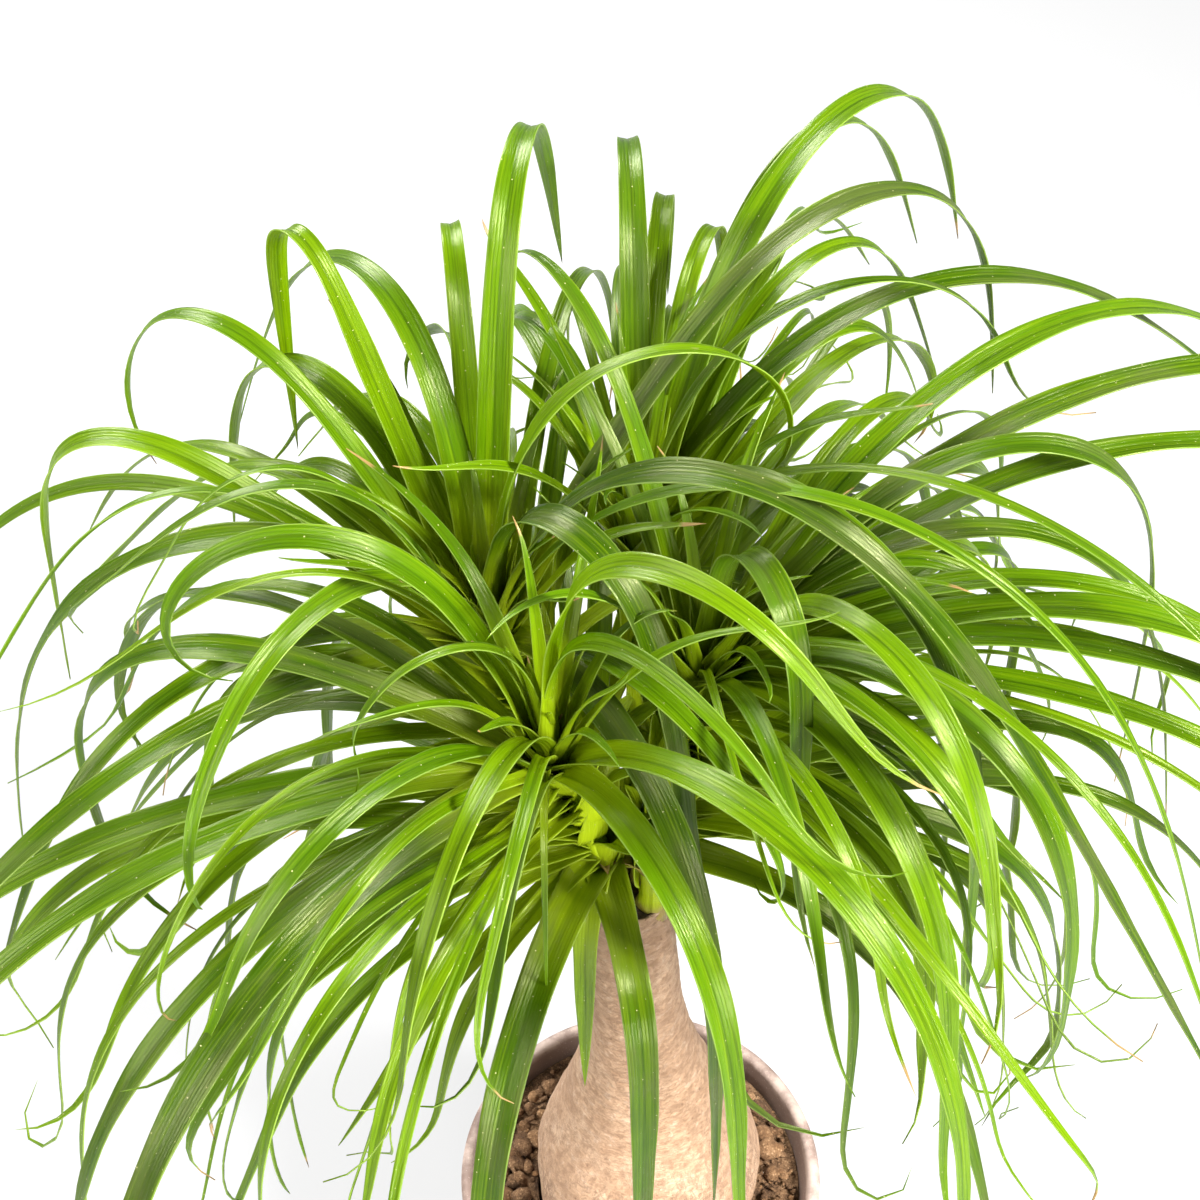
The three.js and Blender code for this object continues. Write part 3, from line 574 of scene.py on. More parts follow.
def stem_point(owner, t):
    """Point on the bend of a shoot's stem, from its straight foot at 0 to its crown at 1."""
    _, stem_foot, stem_crown, _ = SHOOTS[owner]
    foot = np.array([*stem_foot, TRUNK_TOP + STEM_STRAIGHT], float)
    crown = np.array(stem_crown, float)
    bend = np.array([foot[0], foot[1], foot[2] + 0.25 * (crown[2] - foot[2])])
    return (1 - t) ** 2 * foot + 2 * (1 - t) * t * bend + t**2 * crown


# Growth rule of a leaf: it rises from the stem, turns over where its crest is, and falls towards its
# tip, which may curl. The same rule shaped the solids.
LINE_STEPS = 48
ROOM_SEGMENTS = 7
ROOM_BEND_SHARE = 0.4
TIP_SHARE = 0.25


def turned_over(leaf, along):
    """How far the leaf has turned over, from 0 at its root to 1 at its tip."""
    start = math.tanh((0 - leaf["crest"]) / leaf["arch"])
    end = math.tanh((1 - leaf["crest"]) / leaf["arch"])
    return (np.tanh((along - leaf["crest"]) / leaf["arch"]) - start) / (end - start)


def direction(leaf, along):
    """Slope and bearing of the leaf's line, in radians."""
    tip = np.maximum(0, (along - 1 + TIP_SHARE) / TIP_SHARE) ** 2
    pitch = leaf["rise"] + (leaf["fall"] - leaf["rise"]) * turned_over(leaf, along) + leaf["curl"] * tip
    bearing = leaf["bearing"] + leaf["sweep"] * along * along + leaf["swirl"] * tip
    return np.radians(pitch), np.radians(bearing)


def leaf_line(leaf, steps):
    """Points along the middle of the leaf, an even stride apart."""
    pitch, bearing = direction(leaf, (np.arange(steps) + 0.5) / steps)
    stride = leaf["length"] / steps
    level = stride * np.cos(pitch)
    moves = np.stack([level * np.cos(bearing), level * np.sin(bearing), stride * np.sin(pitch)], axis=1)
    return np.cumsum(np.vstack([leaf["root"], moves]), axis=0)


def leaf_width(leaf, along):
    """The blade widens a little above its root and runs out to a long point."""
    return leaf["width"] * np.minimum(1, 0.8 + 2 * along) * np.maximum(0, 1 - along**2.2) ** 0.9


def station_steps(leaf, steps, segments, bend_share):
    """Steps of the line at which the blade has its stations, closer together where it turns over."""
    chosen = [0]
    along = np.arange(1, steps) / steps
    progress = (1 - bend_share) * along + bend_share * turned_over(leaf, along)
    for i, reached in enumerate(progress, start=1):
        if reached * segments >= len(chosen) and len(chosen) < segments:
            chosen.append(i)
    return np.array(chosen + [steps])


def stations(leaf, steps, segments, bend_share):
    """Point on the line, way across, way down and width at each station."""
    chosen = station_steps(leaf, steps, segments, bend_share)
    along = chosen / steps
    pitch, bearing = direction(leaf, along)
    roll = np.radians(leaf["lean"] + leaf["twist"] * along * along)
    level = np.stack([-np.sin(bearing), np.cos(bearing), 0 * along], axis=1)
    lean_x = -np.sin(pitch) * np.cos(bearing)
    lean_y = -np.sin(pitch) * np.sin(bearing)
    over = np.stack([lean_x, lean_y, np.cos(pitch)], axis=1)
    across = level * np.cos(roll)[:, None] + over * np.sin(roll)[:, None]
    down = level * np.sin(roll)[:, None] - over * np.cos(roll)[:, None]
    return leaf_line(leaf, steps)[chosen], across, down, leaf_width(leaf, along), along


# Room between leaves: each leaf notes the small cells that it passes through, and a new one is only
# grown where it stays out of the others, the trunk, the pot and the ground. Most of them also leave
# the front of the trunk in sight.
CELL = 4
GRID_FROM = np.array([-640, -640, -40])
GRID_CELLS = (320, 320, 260)
TOUCHING_LENGTH = 80
TRUNK_AIR = 9
POT_AIR = 13
GROUND_AIR = 12
STEM_AIR = 15.6
SIGHT_SLOPE = 2.14
SIGHT_CENTRE = -5
SIGHT_FROM = 150
SIGHT_FOOT = 230
SIGHT_TO = 455
FOOT_HALF_WIDTH = 85
NECK_HALF_WIDTH = 38
owners = np.full(GRID_CELLS, -1, dtype=np.int8)
leaf_cells = np.zeros(GRID_CELLS, dtype=bool)


def cells_of(points):
    """The cells that hold these points."""
    return tuple((np.floor(points / CELL).astype(int) - GRID_FROM // CELL).T)


def strip_points(strip):
    """Points over the whole blade, at most a cell apart, and their distances from its root."""
    point, across, _, width, _ = strip
    found, distances, distance = [], [], 0.0
    for j in range(1, len(point)):
        span = math.dist(point[j - 1], point[j])
        count = max(1, math.ceil(span / CELL))
        part = (np.arange(count) / count)[:, None]
        middle = point[j - 1] + (point[j] - point[j - 1]) * part
        way = across[j - 1] + (across[j] - across[j - 1]) * part
        half = (width[j - 1] + (width[j] - width[j - 1]) * part) / 2
        found += [middle - half * way, middle, middle + half * way]
        distances += [distance + span * part[:, 0]] * 3
        distance += span
    return np.concatenate(found), np.concatenate(distances)


def occupy(strip, owner, is_leaf):
    """Marks the blade's cells and the cells next to them as the owner's."""
    cells = cells_of(strip_points(strip)[0])
    if is_leaf:
        leaf_cells[cells] = True
    for shift in np.ndindex(3, 3, 3):
        near = tuple(axis + step - 1 for axis, step in zip(cells, shift))
        free = owners[near] < 0
        owners[tuple(axis[free] for axis in near)] = owner


def hides_trunk(points):
    """Whether a point stands before the trunk, seen along the slope from above the front."""
    seen = points[:, 2] + SIGHT_SLOPE * points[:, 1]
    half = np.where(seen < SIGHT_FOOT, FOOT_HALF_WIDTH, NECK_HALF_WIDTH)
    beside = np.abs(points[:, 0] - SIGHT_CENTRE) < half
    return np.any((points[:, 1] < 0) & (seen > SIGHT_FROM) & (seen < SIGHT_TO) & beside)


def is_clear(strip, owner, may_hide):
    """Whether the blade stays out of all that already stands there."""
    points, distances = strip_points(strip)
    x, y, z = points.T
    if np.any(z < GROUND_AIR):
        return False
    if np.any((z < POT_HEIGHT + POT_AIR) & (np.hypot(x, y) < POT_RIM_RADIUS + POT_AIR)):
        return False
    from_trunk = np.hypot(x - np.interp(z, *zip(*TRUNK_LEAN)), y)
    bark_at = np.interp(z, *zip(*TRUNK_PROFILE))
    if np.any((z < TRUNK_TOP + TRUNK_AIR) & (from_trunk < bark_at + TRUNK_AIR)):
        return False
    if not may_hide and hides_trunk(points):
        return False
    cells = cells_of(points)
    if np.any((owners[cells] >= 0) & (owners[cells] != owner)):
        return False
    return not np.any((distances > TOUCHING_LENGTH) & leaf_cells[cells])


for owner in range(len(SHOOTS)):
    for way in ((1, 0, 0), (0, 1, 0)):
        stem_line = np.array([stem_point(owner, t) for t in (0.15, 0.4, 0.7, 1)])
        occupy((stem_line, np.tile(way, (4, 1)), None, np.full(4, STEM_AIR), None), owner, False)


# The leaves that stand out are set one by one: shoot, place of the root on the stem, bearing, rise at
# the root and fall at the tip in degrees, length and width, crest, arch, sweep, twist, curl and swirl.
BOLD_LEAVES = [
    (1, 1, -45, 84, -82, 562, 14, 0.24, 0.085, 14, 0, 95, 50),
    (2, 1, -42, 74, -88, 505, 13, 0.27, 0.2, 0, 0, 95, 60),
    (1, 1, -51, 54, -88, 425, 14, 0.22, 0.22, 0, 0, 0, 0),
    (3, 1, -64, 84, -86, 330, 13, 0.38, 0.1, 0, 0, 40, 0),
    (1, 1, 81, 72, -70, 395, 14, 0.54, 0.12, 0, 0, 0, 0),
    (1, 1, 97, 62, -80, 310, 11, 0.56, 0.1, 0, 0, 0, 0),
    (1, 1, 134, 62, -88, 340, 13, 0.57, 0.05, 0, 60, 0, 0),
    (1, 1, 102, 72, -74, 345, 13, 0.48, 0.2, 80, 0, 0, 0),
    (1, 1, 150, 56, -78, 310, 11, 0.6, 0.14, 10, 0, -40, 0),
    (1, 1, 171, 40, -86, 360, 13, 0.52, 0.1, 0, 0, 0, 60),
    (1, 1, 150, 44, -56, 330, 12, 0.33, 0.14, 25, 60, 0, 0),
    (1, 1, 134, 64, -84, 310, 14, 0.46, 0.18, 30, 0, 0, 0),
    (2, 1, 47, 72, -74, 385, 14, 0.54, 0.2, 0, 0, 0, 0),
    (1, 1, 27, 58, -82, 430, 14, 0.6, 0.16, 0, 0, 0, 0),
    (3, 1, 32, 62, -55, 430, 13, 0.42, 0.3, 0, 0, 0, 0),
    (3, 1, 20, 56, -35, 430, 13, 0.4, 0.3, 0, 0, 0, 0),
    (3, 1, 14, 50, -40, 420, 12, 0.4, 0.3, 0, 0, 0, 0),
    (3, 1, 0, 60, -80, 380, 11, 0.4, 0.2, 0, 0, 0, 0),
    (3, 1, -10, 34, -50, 410, 12, 0.4, 0.3, 0, 0, 0, 0),
    (3, 1, -18, 26, -50, 420, 12, 0.4, 0.3, 0, 0, 0, 0),
    (1, 1, -20, 76, -60, 610, 13, 0.3, 0.14, 0, 0, 0, 0),
    (3, 1, 12, 60, -88, 430, 12, 0.42, 0.16, -30, 0, 0, 0),
    (3, 1, -6, 48, -60, 400, 10, 0.4, 0.25, 0, 0, 0, 0),
    (3, 1, -14, 34, -88, 430, 14, 0.5, 0.22, -10, 0, 60, 0),
    (3, 1, -36, 58, -88, 400, 14, 0.36, 0.2, 0, 0, -40, -60),
    (3, 1, -46, 50, -86, 290, 14, 0.45, 0.2, 0, 0, -60, -120),
    (3, 1, -61, 52, -86, 380, 13, 0.34, 0.2, 0, 0, 30, 0),
    (2, 1, 52, 72, -70, 340, 12, 0.56, 0.16, -10, 0, 0, 0),
    (2, 1, 38, 64, -70, 300, 10, 0.5, 0.15, 0, 0, 0, 0),
    (2, 1, 18, 68, -50, 390, 12, 0.4, 0.25, 0, 0, 0, 0),
    (2, 1, 50, 55, -60, 240, 12, 0.62, 0.12, 0, 0, 0, 0),
    (0, 1, -44, 50, -86, 430, 14, 0.36, 0.25, 0, 0, 40, 0),
    (0, 1, -59, 44, -86, 340, 13, 0.28, 0.2, 0, 0, 80, 60),
    (0, 0.25, -78, 22, -89, 330, 14, 0.2, 0.12, 0, 0, 110, -110),
    (0, 1, -130, 30, -80, 420, 16, 0.4, 0.3, 0, 0, 0, 0),
    (0, 0.3, -110, 24, -88, 400, 16, 0.22, 0.2, 0, 0, 0, 0),
    (0, 1, 172, 32, -95, 400, 13, 0.42, 0.18, 0, 0, -50, 0),
    (1, 1, 184, 66, -84, 400, 13, 0.32, 0.3, 0, 0, 0, 0),
    (1, 1, 204, 46, -70, 340, 11, 0.42, 0.25, 0, 0, 0, 0),
    (1, 1, 210, 36, -60, 440, 12, 0.4, 0.35, 0, 0, 0, 0),
    (0, 1, -158, 26, -70, 430, 14, 0.4, 0.4, 0, 0, 0, 0),
    (0, 1, 190, 20, -60, 440, 13, 0.4, 0.35, 0, 0, 0, 0),
    (0, 1, -142, 16, -85, 420, 13, 0.4, 0.3, 0, 40, 0, 0),
    (2, 1, 92, 62, -60, 290, 13, 0.55, 0.14, 0, 0, 60, 0),
    (2, 1, 84, 56, -75, 260, 11, 0.55, 0.12, 0, 0, 0, 0),
    (2, 1, 70, 58, -80, 270, 9, 0.5, 0.1, 0, 0, 80, 0),
    (0, 0.3, -101, 16, -89, 172, 11, 0.12, 0.1, 0, 0, 0, 0),
    (3, 0.3, -22, 15, -70, 330, 13, 0.22, 0.22, -40, 0, 0, 0),
    (3, 0.5, -30, 30, -70, 250, 12, 0.34, 0.2, 0, 0, 0, 0),
    (0, 0.3, 222, 8, -60, 190, 10, 0.3, 0.3, -20, 0, 0, 0),
    (0, 0.45, 205, 10, -50, 250, 11, 0.35, 0.3, 0, 0, 0, 0),
    (0, 0.35, 232, 8, -80, 200, 9, 0.35, 0.2, -30, 0, 70, 0),
    (0, 0.35, -52, 8, -66, 400, 14, 0.24, 0.3, 0, 0, 0, 0),
]
TURNS = (0, 3, -3, 6, -6, 9, -9, 12, -12)
LIFTS = (0, 4, -4)


def grow(leaf, owner, may_hide):
    """Takes up room for the leaf and returns True, or False where it has none."""
    strip = stations(leaf, LINE_STEPS, ROOM_SEGMENTS, ROOM_BEND_SHARE)
    if not is_clear(strip, owner, may_hide):
        return False
    occupy(strip, owner, True)
    leaf["owner"] = owner
    return True


def set_leaves(rows):
    """Grows each row's leaf at the first turn and lift that keep it clear of the others."""
    found = []
    for owner, place, aim, slope, fall, length, width, crest, arch, sweep, twist, curl, swirl in rows:
        for turned, lift in [(turned, lift) for turned in TURNS for lift in LIFTS]:
            leaf = dict(
                root=stem_point(owner, place), bearing=aim + turned, rise=slope + lift, fall=fall,
                length=length, width=width, crest=crest, arch=arch, sweep=sweep, twist=twist, curl=curl,
                swirl=swirl, lean=0,
            )
            if grow(leaf, owner, True):
                found.append(leaf)
                break
    return found


leaves = set_leaves(BOLD_LEAVES)

# The others follow a seeded draw: the youngest stand in the middle of the crown, the oldest hang from
# low on the stem, each a golden angle on from the last.
LEAF_SEED = 5176
LEAF_TRIES = 150
BEARING_SPREAD = 50
YOUNGEST_TO_OLDEST = 0.65
draw = seeded_draw(LEAF_SEED)
for index in range(max(count for *_, count in SHOOTS)):
    for owner, (_, _, _, count) in enumerate(SHOOTS):
        if index >= count:
            continue
        age = index / (count - 1)
        for i in range(LEAF_TRIES):
            leaf = dict(
                root=stem_point(owner, 1 - YOUNGEST_TO_OLDEST * age),
                bearing=index * GOLDEN_ANGLE + draw(0, BEARING_SPREAD + i),
                rise=draw(74 - 66 * age, 16), fall=draw(-76, 14), length=draw(280 + 110 * age, 60),
                width=draw(10.5, 2.5), crest=draw(0.52 - 0.16 * age, 0.1), arch=draw(0.2, 0.1),
                sweep=draw(0, 30), twist=draw(0, 80), curl=draw(0, 110), swirl=draw(0, 70), lean=draw(0, 12),
            )
            if grow(leaf, owner, False):
                leaves.append(leaf)
                break

# Leaf blades: thin ribbed straps, glossy green on both sides, pale where they clasp the stem, with a
# folded middle and a wavy edge. How pale the bases are differs by shoot as painted light. Each is a flat
# grid bent along its line, made solid by Solidify.
BLADE_THICKNESS = 0.5
BASE_REACH = 28
BLADE_STEPS = 4 * LINE_STEPS
BLADE_BEND_SHARE = 0.45
BROAD_WIDTH = 6.5
BROAD_CELLS = 10
SLIM_CELLS = 4
LONG_LENGTH = 150
LONG_CELLS = 46
SHORT_CELLS = 24
RUFFLE = 0.05
RUFFLE_SPACING = 11
FOLD = 0.17
CLASPING_FOLD = 0.35
PLEAT = 0.009
LIGHT_THROUGH = 0.34

leaf_green, add = new_material("leaf_green")
across = add("Attribute", {}, attribute_name="across").outputs["Fac"]
blade = add("Attribute", {}, attribute_name="blade").outputs["Vector"]
growth = add("Attribute", {}, attribute_name="growth").outputs["Vector"]
blade_x, blade_y, shade = add("SeparateXYZ", {0: blade}).outputs
along, fresh_and_lit, dry = add("SeparateXYZ", {0: growth}).outputs
long_place = add("Mapping", {"Vector": blade, "Scale": (1.0, 0.014, 0.3)}).outputs[0]
short_place = add("Mapping", {"Vector": blade, "Scale": (1.0, 0.25, 0.3)}).outputs[0]
fibre = grainy(add, long_place, 1400.0, 4.0, 0.7)
streak = grainy(add, long_place, 420.0, 3.0, 0.55)
mottle = grainy(add, short_place, 60.0, 4.0, 0.6)
waver = calc(add, "MULTIPLY", streak, 0.0008)
rib = calc(add, "SINE", calc(add, "MULTIPLY", calc(add, "ADD", blade_x, waver), 4600.0))
rib = calc(add, "MULTIPLY_ADD", rib, 0.5, 0.5)
tone = calc(add, "ADD", calc(add, "MULTIPLY", shade, 0.55), calc(add, "MULTIPLY", mottle, 0.45))
green = ramp(add, tone, [(0.15, (0.018, 0.046, 0.0002)), (0.45, (0.052, 0.118, 0.0003)),
                         (0.8, (0.094, 0.172, 0.0004))])
green = paint(add, green, (0.13, 0.205, 0.001), fade(add, streak, 0.5, 0.64), 0.28)
green = paint(add, green, (0.011, 0.03, 0.0003), fade(add, fibre, 0.52, 0.38), 0.5)
vein = calc(add, "MULTIPLY", fade(add, rib, 0.55, 0.95), fade(add, streak, 0.36, 0.56))
green = paint(add, green, (0.16, 0.24, 0.004), vein, 0.22)
middle = calc(add, "ABSOLUTE", across)
# Painted shade: the crease along the folded middle is darkened.
green = paint(add, green, (0.012, 0.036, 0.0005), fade(add, middle, 0.12, 0.02), 0.6)
# The margins are paler, partly the blade's own pale rim and partly a painted edge highlight.
green = paint(add, green, (0.26, 0.35, 0.08), fade(add, middle, 0.95, 0.99), 0.4)
pale = calc(add, "MULTIPLY", fade(add, blade_y, 0.09, 0.004), fresh_and_lit)
green = blend(add, pale, green, (0.4, 0.5, 0.01))
# Painted reflection: patches of grey-brown haze on the darker leaves stand in for the sheen of the room seen
# on their arching tops.
painted_sheen = calc(add, "MULTIPLY", fade(add, shade, 0.5, 0.1), fade(add, mottle, 0.42, 0.6))
green = paint(add, green, (0.065, 0.066, 0.026), painted_sheen, 0.5)
spot_place = add("CombineXYZ", {0: blade_x, 1: calc(add, "ADD", blade_y, shade)}).outputs[0]
grit = add("TexVoronoi", {"Vector": spot_place, "Scale": 190.0, "Randomness": 1.0}, voronoi_dimensions="2D")
spot_size = calc(add, "MULTIPLY", add("SeparateXYZ", {0: grit.outputs["Color"]}).outputs[0], 0.11)
spot = calc(add, "LESS_THAN", grit.outputs["Distance"], calc(add, "SUBTRACT", spot_size, 0.055))
green = paint(add, green, (0.5, 0.46, 0.2), spot, 0.8)
scuff = grainy(add, short_place, 520.0, 3.0, 0.7)
scuff = calc(add, "MULTIPLY", fade(add, scuff, 0.66, 0.74), fade(add, mottle, 0.5, 0.62))
green = paint(add, green, (0.23, 0.17, 0.08), scuff, 0.4)
tip_start = calc(add, "MULTIPLY_ADD", dry, -0.07, 0.985)
tip = fade(add, along, tip_start, calc(add, "ADD", tip_start, 0.02))
tip = calc(add, "MULTIPLY", tip, fade(add, dry, 0.1, 0.4))
old = calc(add, "MULTIPLY", fade(add, dry, 1.1, 1.4), 0.9)
straw = calc(add, "MAXIMUM", tip, old)
green = blend(add, straw, green, (0.28, 0.18, 0.065))
glow = ramp(add, tone, [(0.15, (0.23, 0.36, 0.003)), (0.5, (0.36, 0.49, 0.004)),
                        (0.85, (0.49, 0.59, 0.005))])
glow = blend(add, pale, glow, (0.76, 0.84, 0.05))
glow = paint(add, glow, (0.28, 0.45, 0.004), fade(add, fibre, 0.52, 0.38), 0.3)
glow = paint(add, glow, (0.28, 0.46, 0.004), fade(add, middle, 0.12, 0.02), 0.5)
glow = blend(add, straw, glow, (0.55, 0.42, 0.22))
relief = calc(add, "ADD", calc(add, "MULTIPLY", fibre, 0.8), calc(add, "MULTIPLY", rib, 0.2))
bump = add("Bump", {"Height": relief, "Distance": 0.0004, "Strength": 0.85}).outputs[0]
gloss = calc(add, "MULTIPLY_ADD", mottle, 0.16, 0.13)
gloss = calc(add, "ADD", gloss, calc(add, "MULTIPLY", fibre, 0.1))
leaf_shader = coat(leaf_green, green, bump, gloss, 0.28)
leaf_shader.inputs["Specular Tint"].default_value = (1.0, 1.0, 0.54, 1)
through = add("BsdfTranslucent", {"Color": glow, "Normal": bump}).outputs[0]
both = add("MixShader", {0: LIGHT_THROUGH, 1: leaf_shader.outputs[0], 2: through}).outputs[0]
plug(leaf_green.node_tree.nodes["Material Output"], {"Surface": both})


def leaf_tags(bm):
    """What the leaf material reads at a point: its place on the blade, how pale its base turns (young growth
    with painted light in it) and how dry it is.
    """
    return {
        "across": bm.verts.layers.float.new("across"),
        "blade": bm.verts.layers.float_vector.new("blade"),
        "growth": bm.verts.layers.float_vector.new("growth"),
    }


def bend_blade(bm, leaf, cells_across, cells_along, tags):
    """Bends a flat grid along the leaf's line, folded at its middle and wavy at its edges."""
    grid = bmesh.ops.create_grid(bm, x_segments=cells_across, y_segments=cells_along, size=1)["verts"]
    flat = np.array([v.co[:2] for v in grid])
    side = flat[:, 0]
    row = np.rint((flat[:, 1] + 1) / 2 * cells_along).astype(int)
    strip = stations(leaf, BLADE_STEPS, cells_along, BLADE_BEND_SHARE)
    point, across, down, width, along = (part[row] for part in strip)
    distance = along * leaf["length"]
    clasp = np.exp(-((distance / BASE_REACH) ** 2))
    half = width / 2 * (1 + 0.5 * clasp)
    wave = np.sin(distance / RUFFLE_SPACING + leaf["bearing"]) * np.minimum(1, distance / 60)
    ruffle = RUFFLE * wave * side * np.abs(side)
    fold = (FOLD + CLASPING_FOLD * clasp - 0.06 * along) * (1 - np.abs(side) ** 1.35)
    pleat = PLEAT * np.cos(3 * math.pi * side) * (1 - side**2)
    lower = width * (fold + pleat + ruffle)
    place = point + across * (half * side)[:, None] + down * lower[:, None]
    for vert, co, s, w, d, a in zip(grid, place, side, half, distance, along):
        vert.co = co
        vert[tags["across"]] = s
        vert[tags["blade"]] = (s * w * MM, d * MM, leaf["shade"])
        vert[tags["growth"]] = (a, leaf["fresh_and_lit"], leaf["dry"])


def make_leaves(name, node, grown):
    """Makes one piece of these leaves, with a finer grid on the broad and the long ones."""
    bm = bmesh.new()
    tags = leaf_tags(bm)
    for leaf in grown:
        cells_across = BROAD_CELLS if leaf["width"] > BROAD_WIDTH else SLIM_CELLS
        cells_along = LONG_CELLS if leaf["length"] > LONG_LENGTH else SHORT_CELLS
        bend_blade(bm, leaf, cells_across, cells_along, tags)
    bmesh.ops.remove_doubles(bm, verts=bm.verts, dist=0.02)
    piece = make_piece(bm, name, leaf_green, [node])
    thickness = piece.modifiers.new("thickness", "SOLIDIFY")
    thickness.thickness = BLADE_THICKNESS * MM
    thickness.offset = 0


def make_shoot_leaves(kind, grown):
    """Makes one piece of this kind of leaf for each shoot."""
    for owner, (shoot_name, *_) in enumerate(SHOOTS):
        own = [leaf for leaf in grown if leaf["owner"] == owner]
        make_leaves(kind + "_" + shoot_name, "shoot_" + shoot_name, own)


# How strongly each shoot's leaf bases turn pale. Young bases are pale, and on top of that the values are
# painted light: highest on the back-left shoot, which the light shines through, lower on the shoots in the
# crown's shade.
SHOOT_PALE_BASES_AND_LIGHT = (0.55, 0.85, 0.4, 0.4)
TONE_SEED = 20771
tone_draw = seeded_draw(TONE_SEED)
for leaf in leaves:
    leaf["shade"] = min(1, max(0, tone_draw(0.52, 0.4) + (340 - leaf["length"]) / 420))
    leaf["dry"] = max(0, tone_draw(-0.2, 1))
    leaf["fresh_and_lit"] = SHOOT_PALE_BASES_AND_LIGHT[leaf["owner"]]
make_shoot_leaves("leaves", leaves)

# Slim leaves: between the broad ones grow many narrow and half-grown leaves and thread-like tips that
# curl freely, in the room that the others leave. The youngest stand close in the middle of each crown.
SLIM_LEAVES = [
    (2, 1, -30, 60, -60, 470, 5, 0.4, 0.3, 0, 0, 0, 0),
    (1, 1, -12, 72, -74, 560, 6, 0.38, 0.25, 0, 0, 0, 0),
    (3, 1, -39, 60, -70, 380, 5, 0.4, 0.3, 0, 0, 60, 0),
    (3, 1, -17, 24, -60, 400, 5, 0.4, 0.3, 0, 0, 60, 0),
    (0, 1, -88, 50, -80, 150, 2.8, 0.2, 0.12, 0, 0, 0, 0),
    (3, 0.9, -66, 30, -88, 350, 6, 0.3, 0.15, 0, 0, 120, 150),
    (3, 0.9, -44, 36, -88, 340, 5, 0.36, 0.15, 0, 0, 130, 160),
    (3, 1, 26, 70, -88, 420, 4, 0.4, 0.2, 0, 0, 120, 140),
    (0, 0.9, -150, 20, -86, 430, 5, 0.4, 0.2, 0, 0, 130, 120),
    (0, 0.9, -166, 24, -86, 420, 6, 0.4, 0.2, 0, 0, 120, -150),
    (0, 0.9, -112, 22, -88, 420, 5, 0.36, 0.2, 0, 0, 120, 140),
]
SLIM_SEED = 1931
SLIM_COUNT = 24
SLIM_TRIES = 60
SLIM_SPREAD = 60
SLIM_YOUNGEST_TO_OLDEST = 0.25
SLIM_DOME = np.array([350, 285, 262])
SLIM_DOME_CENTRE = np.array([0, 15, 475])
YOUNG_COUNT = 15
YOUNG_PLACE = 0.97
slim = set_leaves(SLIM_LEAVES)
draw = seeded_draw(SLIM_SEED)
for index in range(SLIM_COUNT):
    for owner in range(len(SHOOTS)):
        age = index / (SLIM_COUNT - 1)
        for i in range(SLIM_TRIES):
            leaf = dict(
                root=stem_point(owner, 1 - SLIM_YOUNGEST_TO_OLDEST * age),
                bearing=index * GOLDEN_ANGLE + draw(0, SLIM_SPREAD + i),
                rise=draw(70 - 50 * age, 20), fall=draw(-66, 22), length=draw(250 + 90 * age, 80),
                width=draw(6.2, 3.4), crest=draw(0.5 - 0.14 * age, 0.14), arch=draw(0.24, 0.12),
                sweep=draw(0, 50), twist=draw(0, 120), curl=draw(20, 150), swirl=draw(0, 160),
                lean=draw(0, 25),
            )
            line = (leaf_line(leaf, 12) - SLIM_DOME_CENTRE) / SLIM_DOME
            if (line**2).sum(axis=1).max() < 1 and grow(leaf, owner, False):
                slim.append(leaf)
                break
for owner in range(len(SHOOTS)):
    for index in range(YOUNG_COUNT):
        age = index / (YOUNG_COUNT - 1)
        slim.append(dict(
            root=stem_point(owner, YOUNG_PLACE), bearing=index * GOLDEN_ANGLE, owner=owner,
            rise=draw(84 - 22 * age, 5), fall=draw(74 - 70 * age, 12), length=draw(50 + 110 * age, 18),
            width=draw(4.5 + 3.5 * age, 1), crest=draw(0.7, 0.1), arch=draw(0.25, 0.08),
            sweep=draw(0, 20), twist=draw(0, 30), curl=draw(0, 30), swirl=draw(0, 30), lean=draw(0, 8),
        ))
for leaf in slim:
    leaf["shade"] = tone_draw(0.6, 0.4)
    leaf["dry"] = max(0, tone_draw(0, 1.1))
    leaf["fresh_and_lit"] = SHOOT_PALE_BASES_AND_LIGHT[leaf["owner"]]
make_shoot_leaves("slim_leaves", slim)

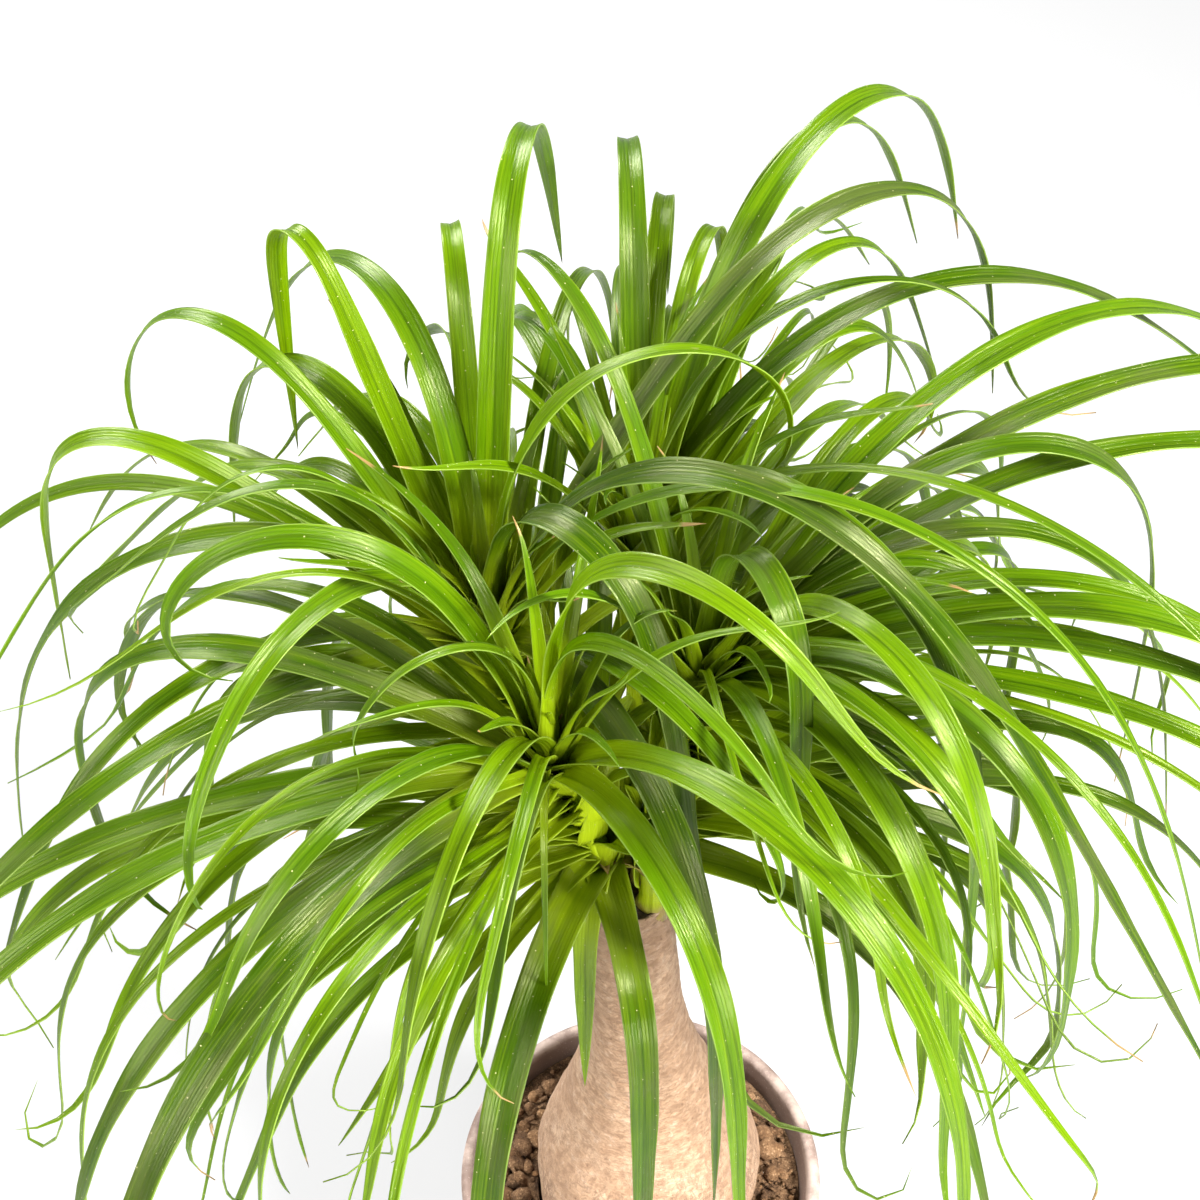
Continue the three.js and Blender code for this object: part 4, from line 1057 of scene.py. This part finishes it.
# Stems: each a short pale stem that swells to a tan callus where it grew out of the trunk, and is
# clasped all the way up by pointed sheaths, the bases of leaves; those at its foot are dry husks.
SHEATH_SEED = 613
STEM_RADIUS = 5
STEM_SIDES = 24
STEM_SINK = 10
CALLUS_HEIGHT = 5
SHEATH_COUNT = 10
HUSK_COUNT = 7
SHOOT_TURN = 50
for owner, (shoot_name, stem_foot, *_) in enumerate(SHOOTS):
    bm = bmesh.new()
    tags = leaf_tags(bm)
    line = [Vector((*stem_foot, TRUNK_TOP - STEM_SINK))]
    line += [Vector((*stem_foot, TRUNK_TOP + z)) for z in np.linspace(-4, STEM_STRAIGHT - 3, 10)]
    line += [Vector(stem_point(owner, t)) for t in np.linspace(0, 1, 40)]
    loops = []
    for i, centre in enumerate(line):
        way = (line[min(i + 1, len(line) - 1)] - line[max(i - 1, 0)]).normalized()
        tilt = Vector((0, 0, 1)).rotation_difference(way).to_matrix().to_4x4()
        callus = math.exp(-(max(0, centre.z - TRUNK_TOP + 2) / CALLUS_HEIGHT) ** 2)
        radius = STEM_RADIUS * (1.1 - 0.3 * i / len(line)) + 1.6 * callus
        there = Matrix.Translation(centre) @ tilt
        ring = bmesh.ops.create_circle(bm, segments=STEM_SIDES, radius=radius, matrix=there)
        for vert in ring["verts"]:
            vert.co += (vert.co - centre) * 0.16 * lumps(vert.co, 5, 40 + owner)
            vert[tags["across"]] = 0.5
            vert[tags["blade"]] = (0.008 * math.atan2(*(vert.co - centre).xy), 0.01, 0.7)
            vert[tags["growth"]] = (0.3, 0.8, 1.1 + 0.25 * callus)
        loops.append(list({edge for vert in ring["verts"] for edge in vert.link_edges}))
    for below, above in zip(loops, loops[1:]):
        bmesh.ops.bridge_loops(bm, edges=below + above)
    bmesh.ops.contextual_create(bm, geom=loops[0])
    bmesh.ops.contextual_create(bm, geom=loops[-1])
    bmesh.ops.recalc_face_normals(bm, faces=bm.faces)
    make_piece(bm, "stem_" + shoot_name, leaf_green, ["shoot_" + shoot_name])

    sheaths = []
    draw = seeded_draw(SHEATH_SEED + owner)
    for i in range(SHEATH_COUNT):
        high = i / SHEATH_COUNT
        place = draw(0.06 + 0.86 * high, 0.03)
        sheaths.append(dict(
            root=stem_point(owner, place), bearing=i * GOLDEN_ANGLE + draw(SHOOT_TURN * owner, 15),
            rise=draw(80, 5), fall=draw(48, 22), length=draw(52 + 20 * high, 12), width=draw(15, 2),
            crest=draw(0.62, 0.14), arch=draw(0.24, 0.1), sweep=draw(0, 20), twist=draw(0, 15),
            curl=draw(0, 20), swirl=draw(0, 15), lean=draw(0, 10), shade=draw(0.7, 0.3), dry=0, fresh_and_lit=0.8,
        ))
    for i in range(HUSK_COUNT):
        place = draw(0.02 + 0.16 * (i / HUSK_COUNT), 0.02)
        sheaths.append(dict(
            root=stem_point(owner, place),
            bearing=(SHEATH_COUNT + i) * GOLDEN_ANGLE + draw(SHOOT_TURN * owner, 15),
            rise=draw(70, 12), fall=draw(-10, 50), length=draw(20, 9), width=draw(7, 2.5),
            crest=draw(0.62, 0.14), arch=draw(0.24, 0.1), sweep=draw(0, 20), twist=draw(0, 60),
            curl=draw(0, 90), swirl=draw(0, 60), lean=draw(0, 10), shade=draw(0.7, 0.3),
            dry=draw(1.2, 0.25), fresh_and_lit=0.8,
        ))
    make_leaves("sheaths_" + shoot_name, "shoot_" + shoot_name, sheaths)

size = {"cad": [list(corner) for corner in cad_box], "scene": [list(corner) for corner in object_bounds()]}
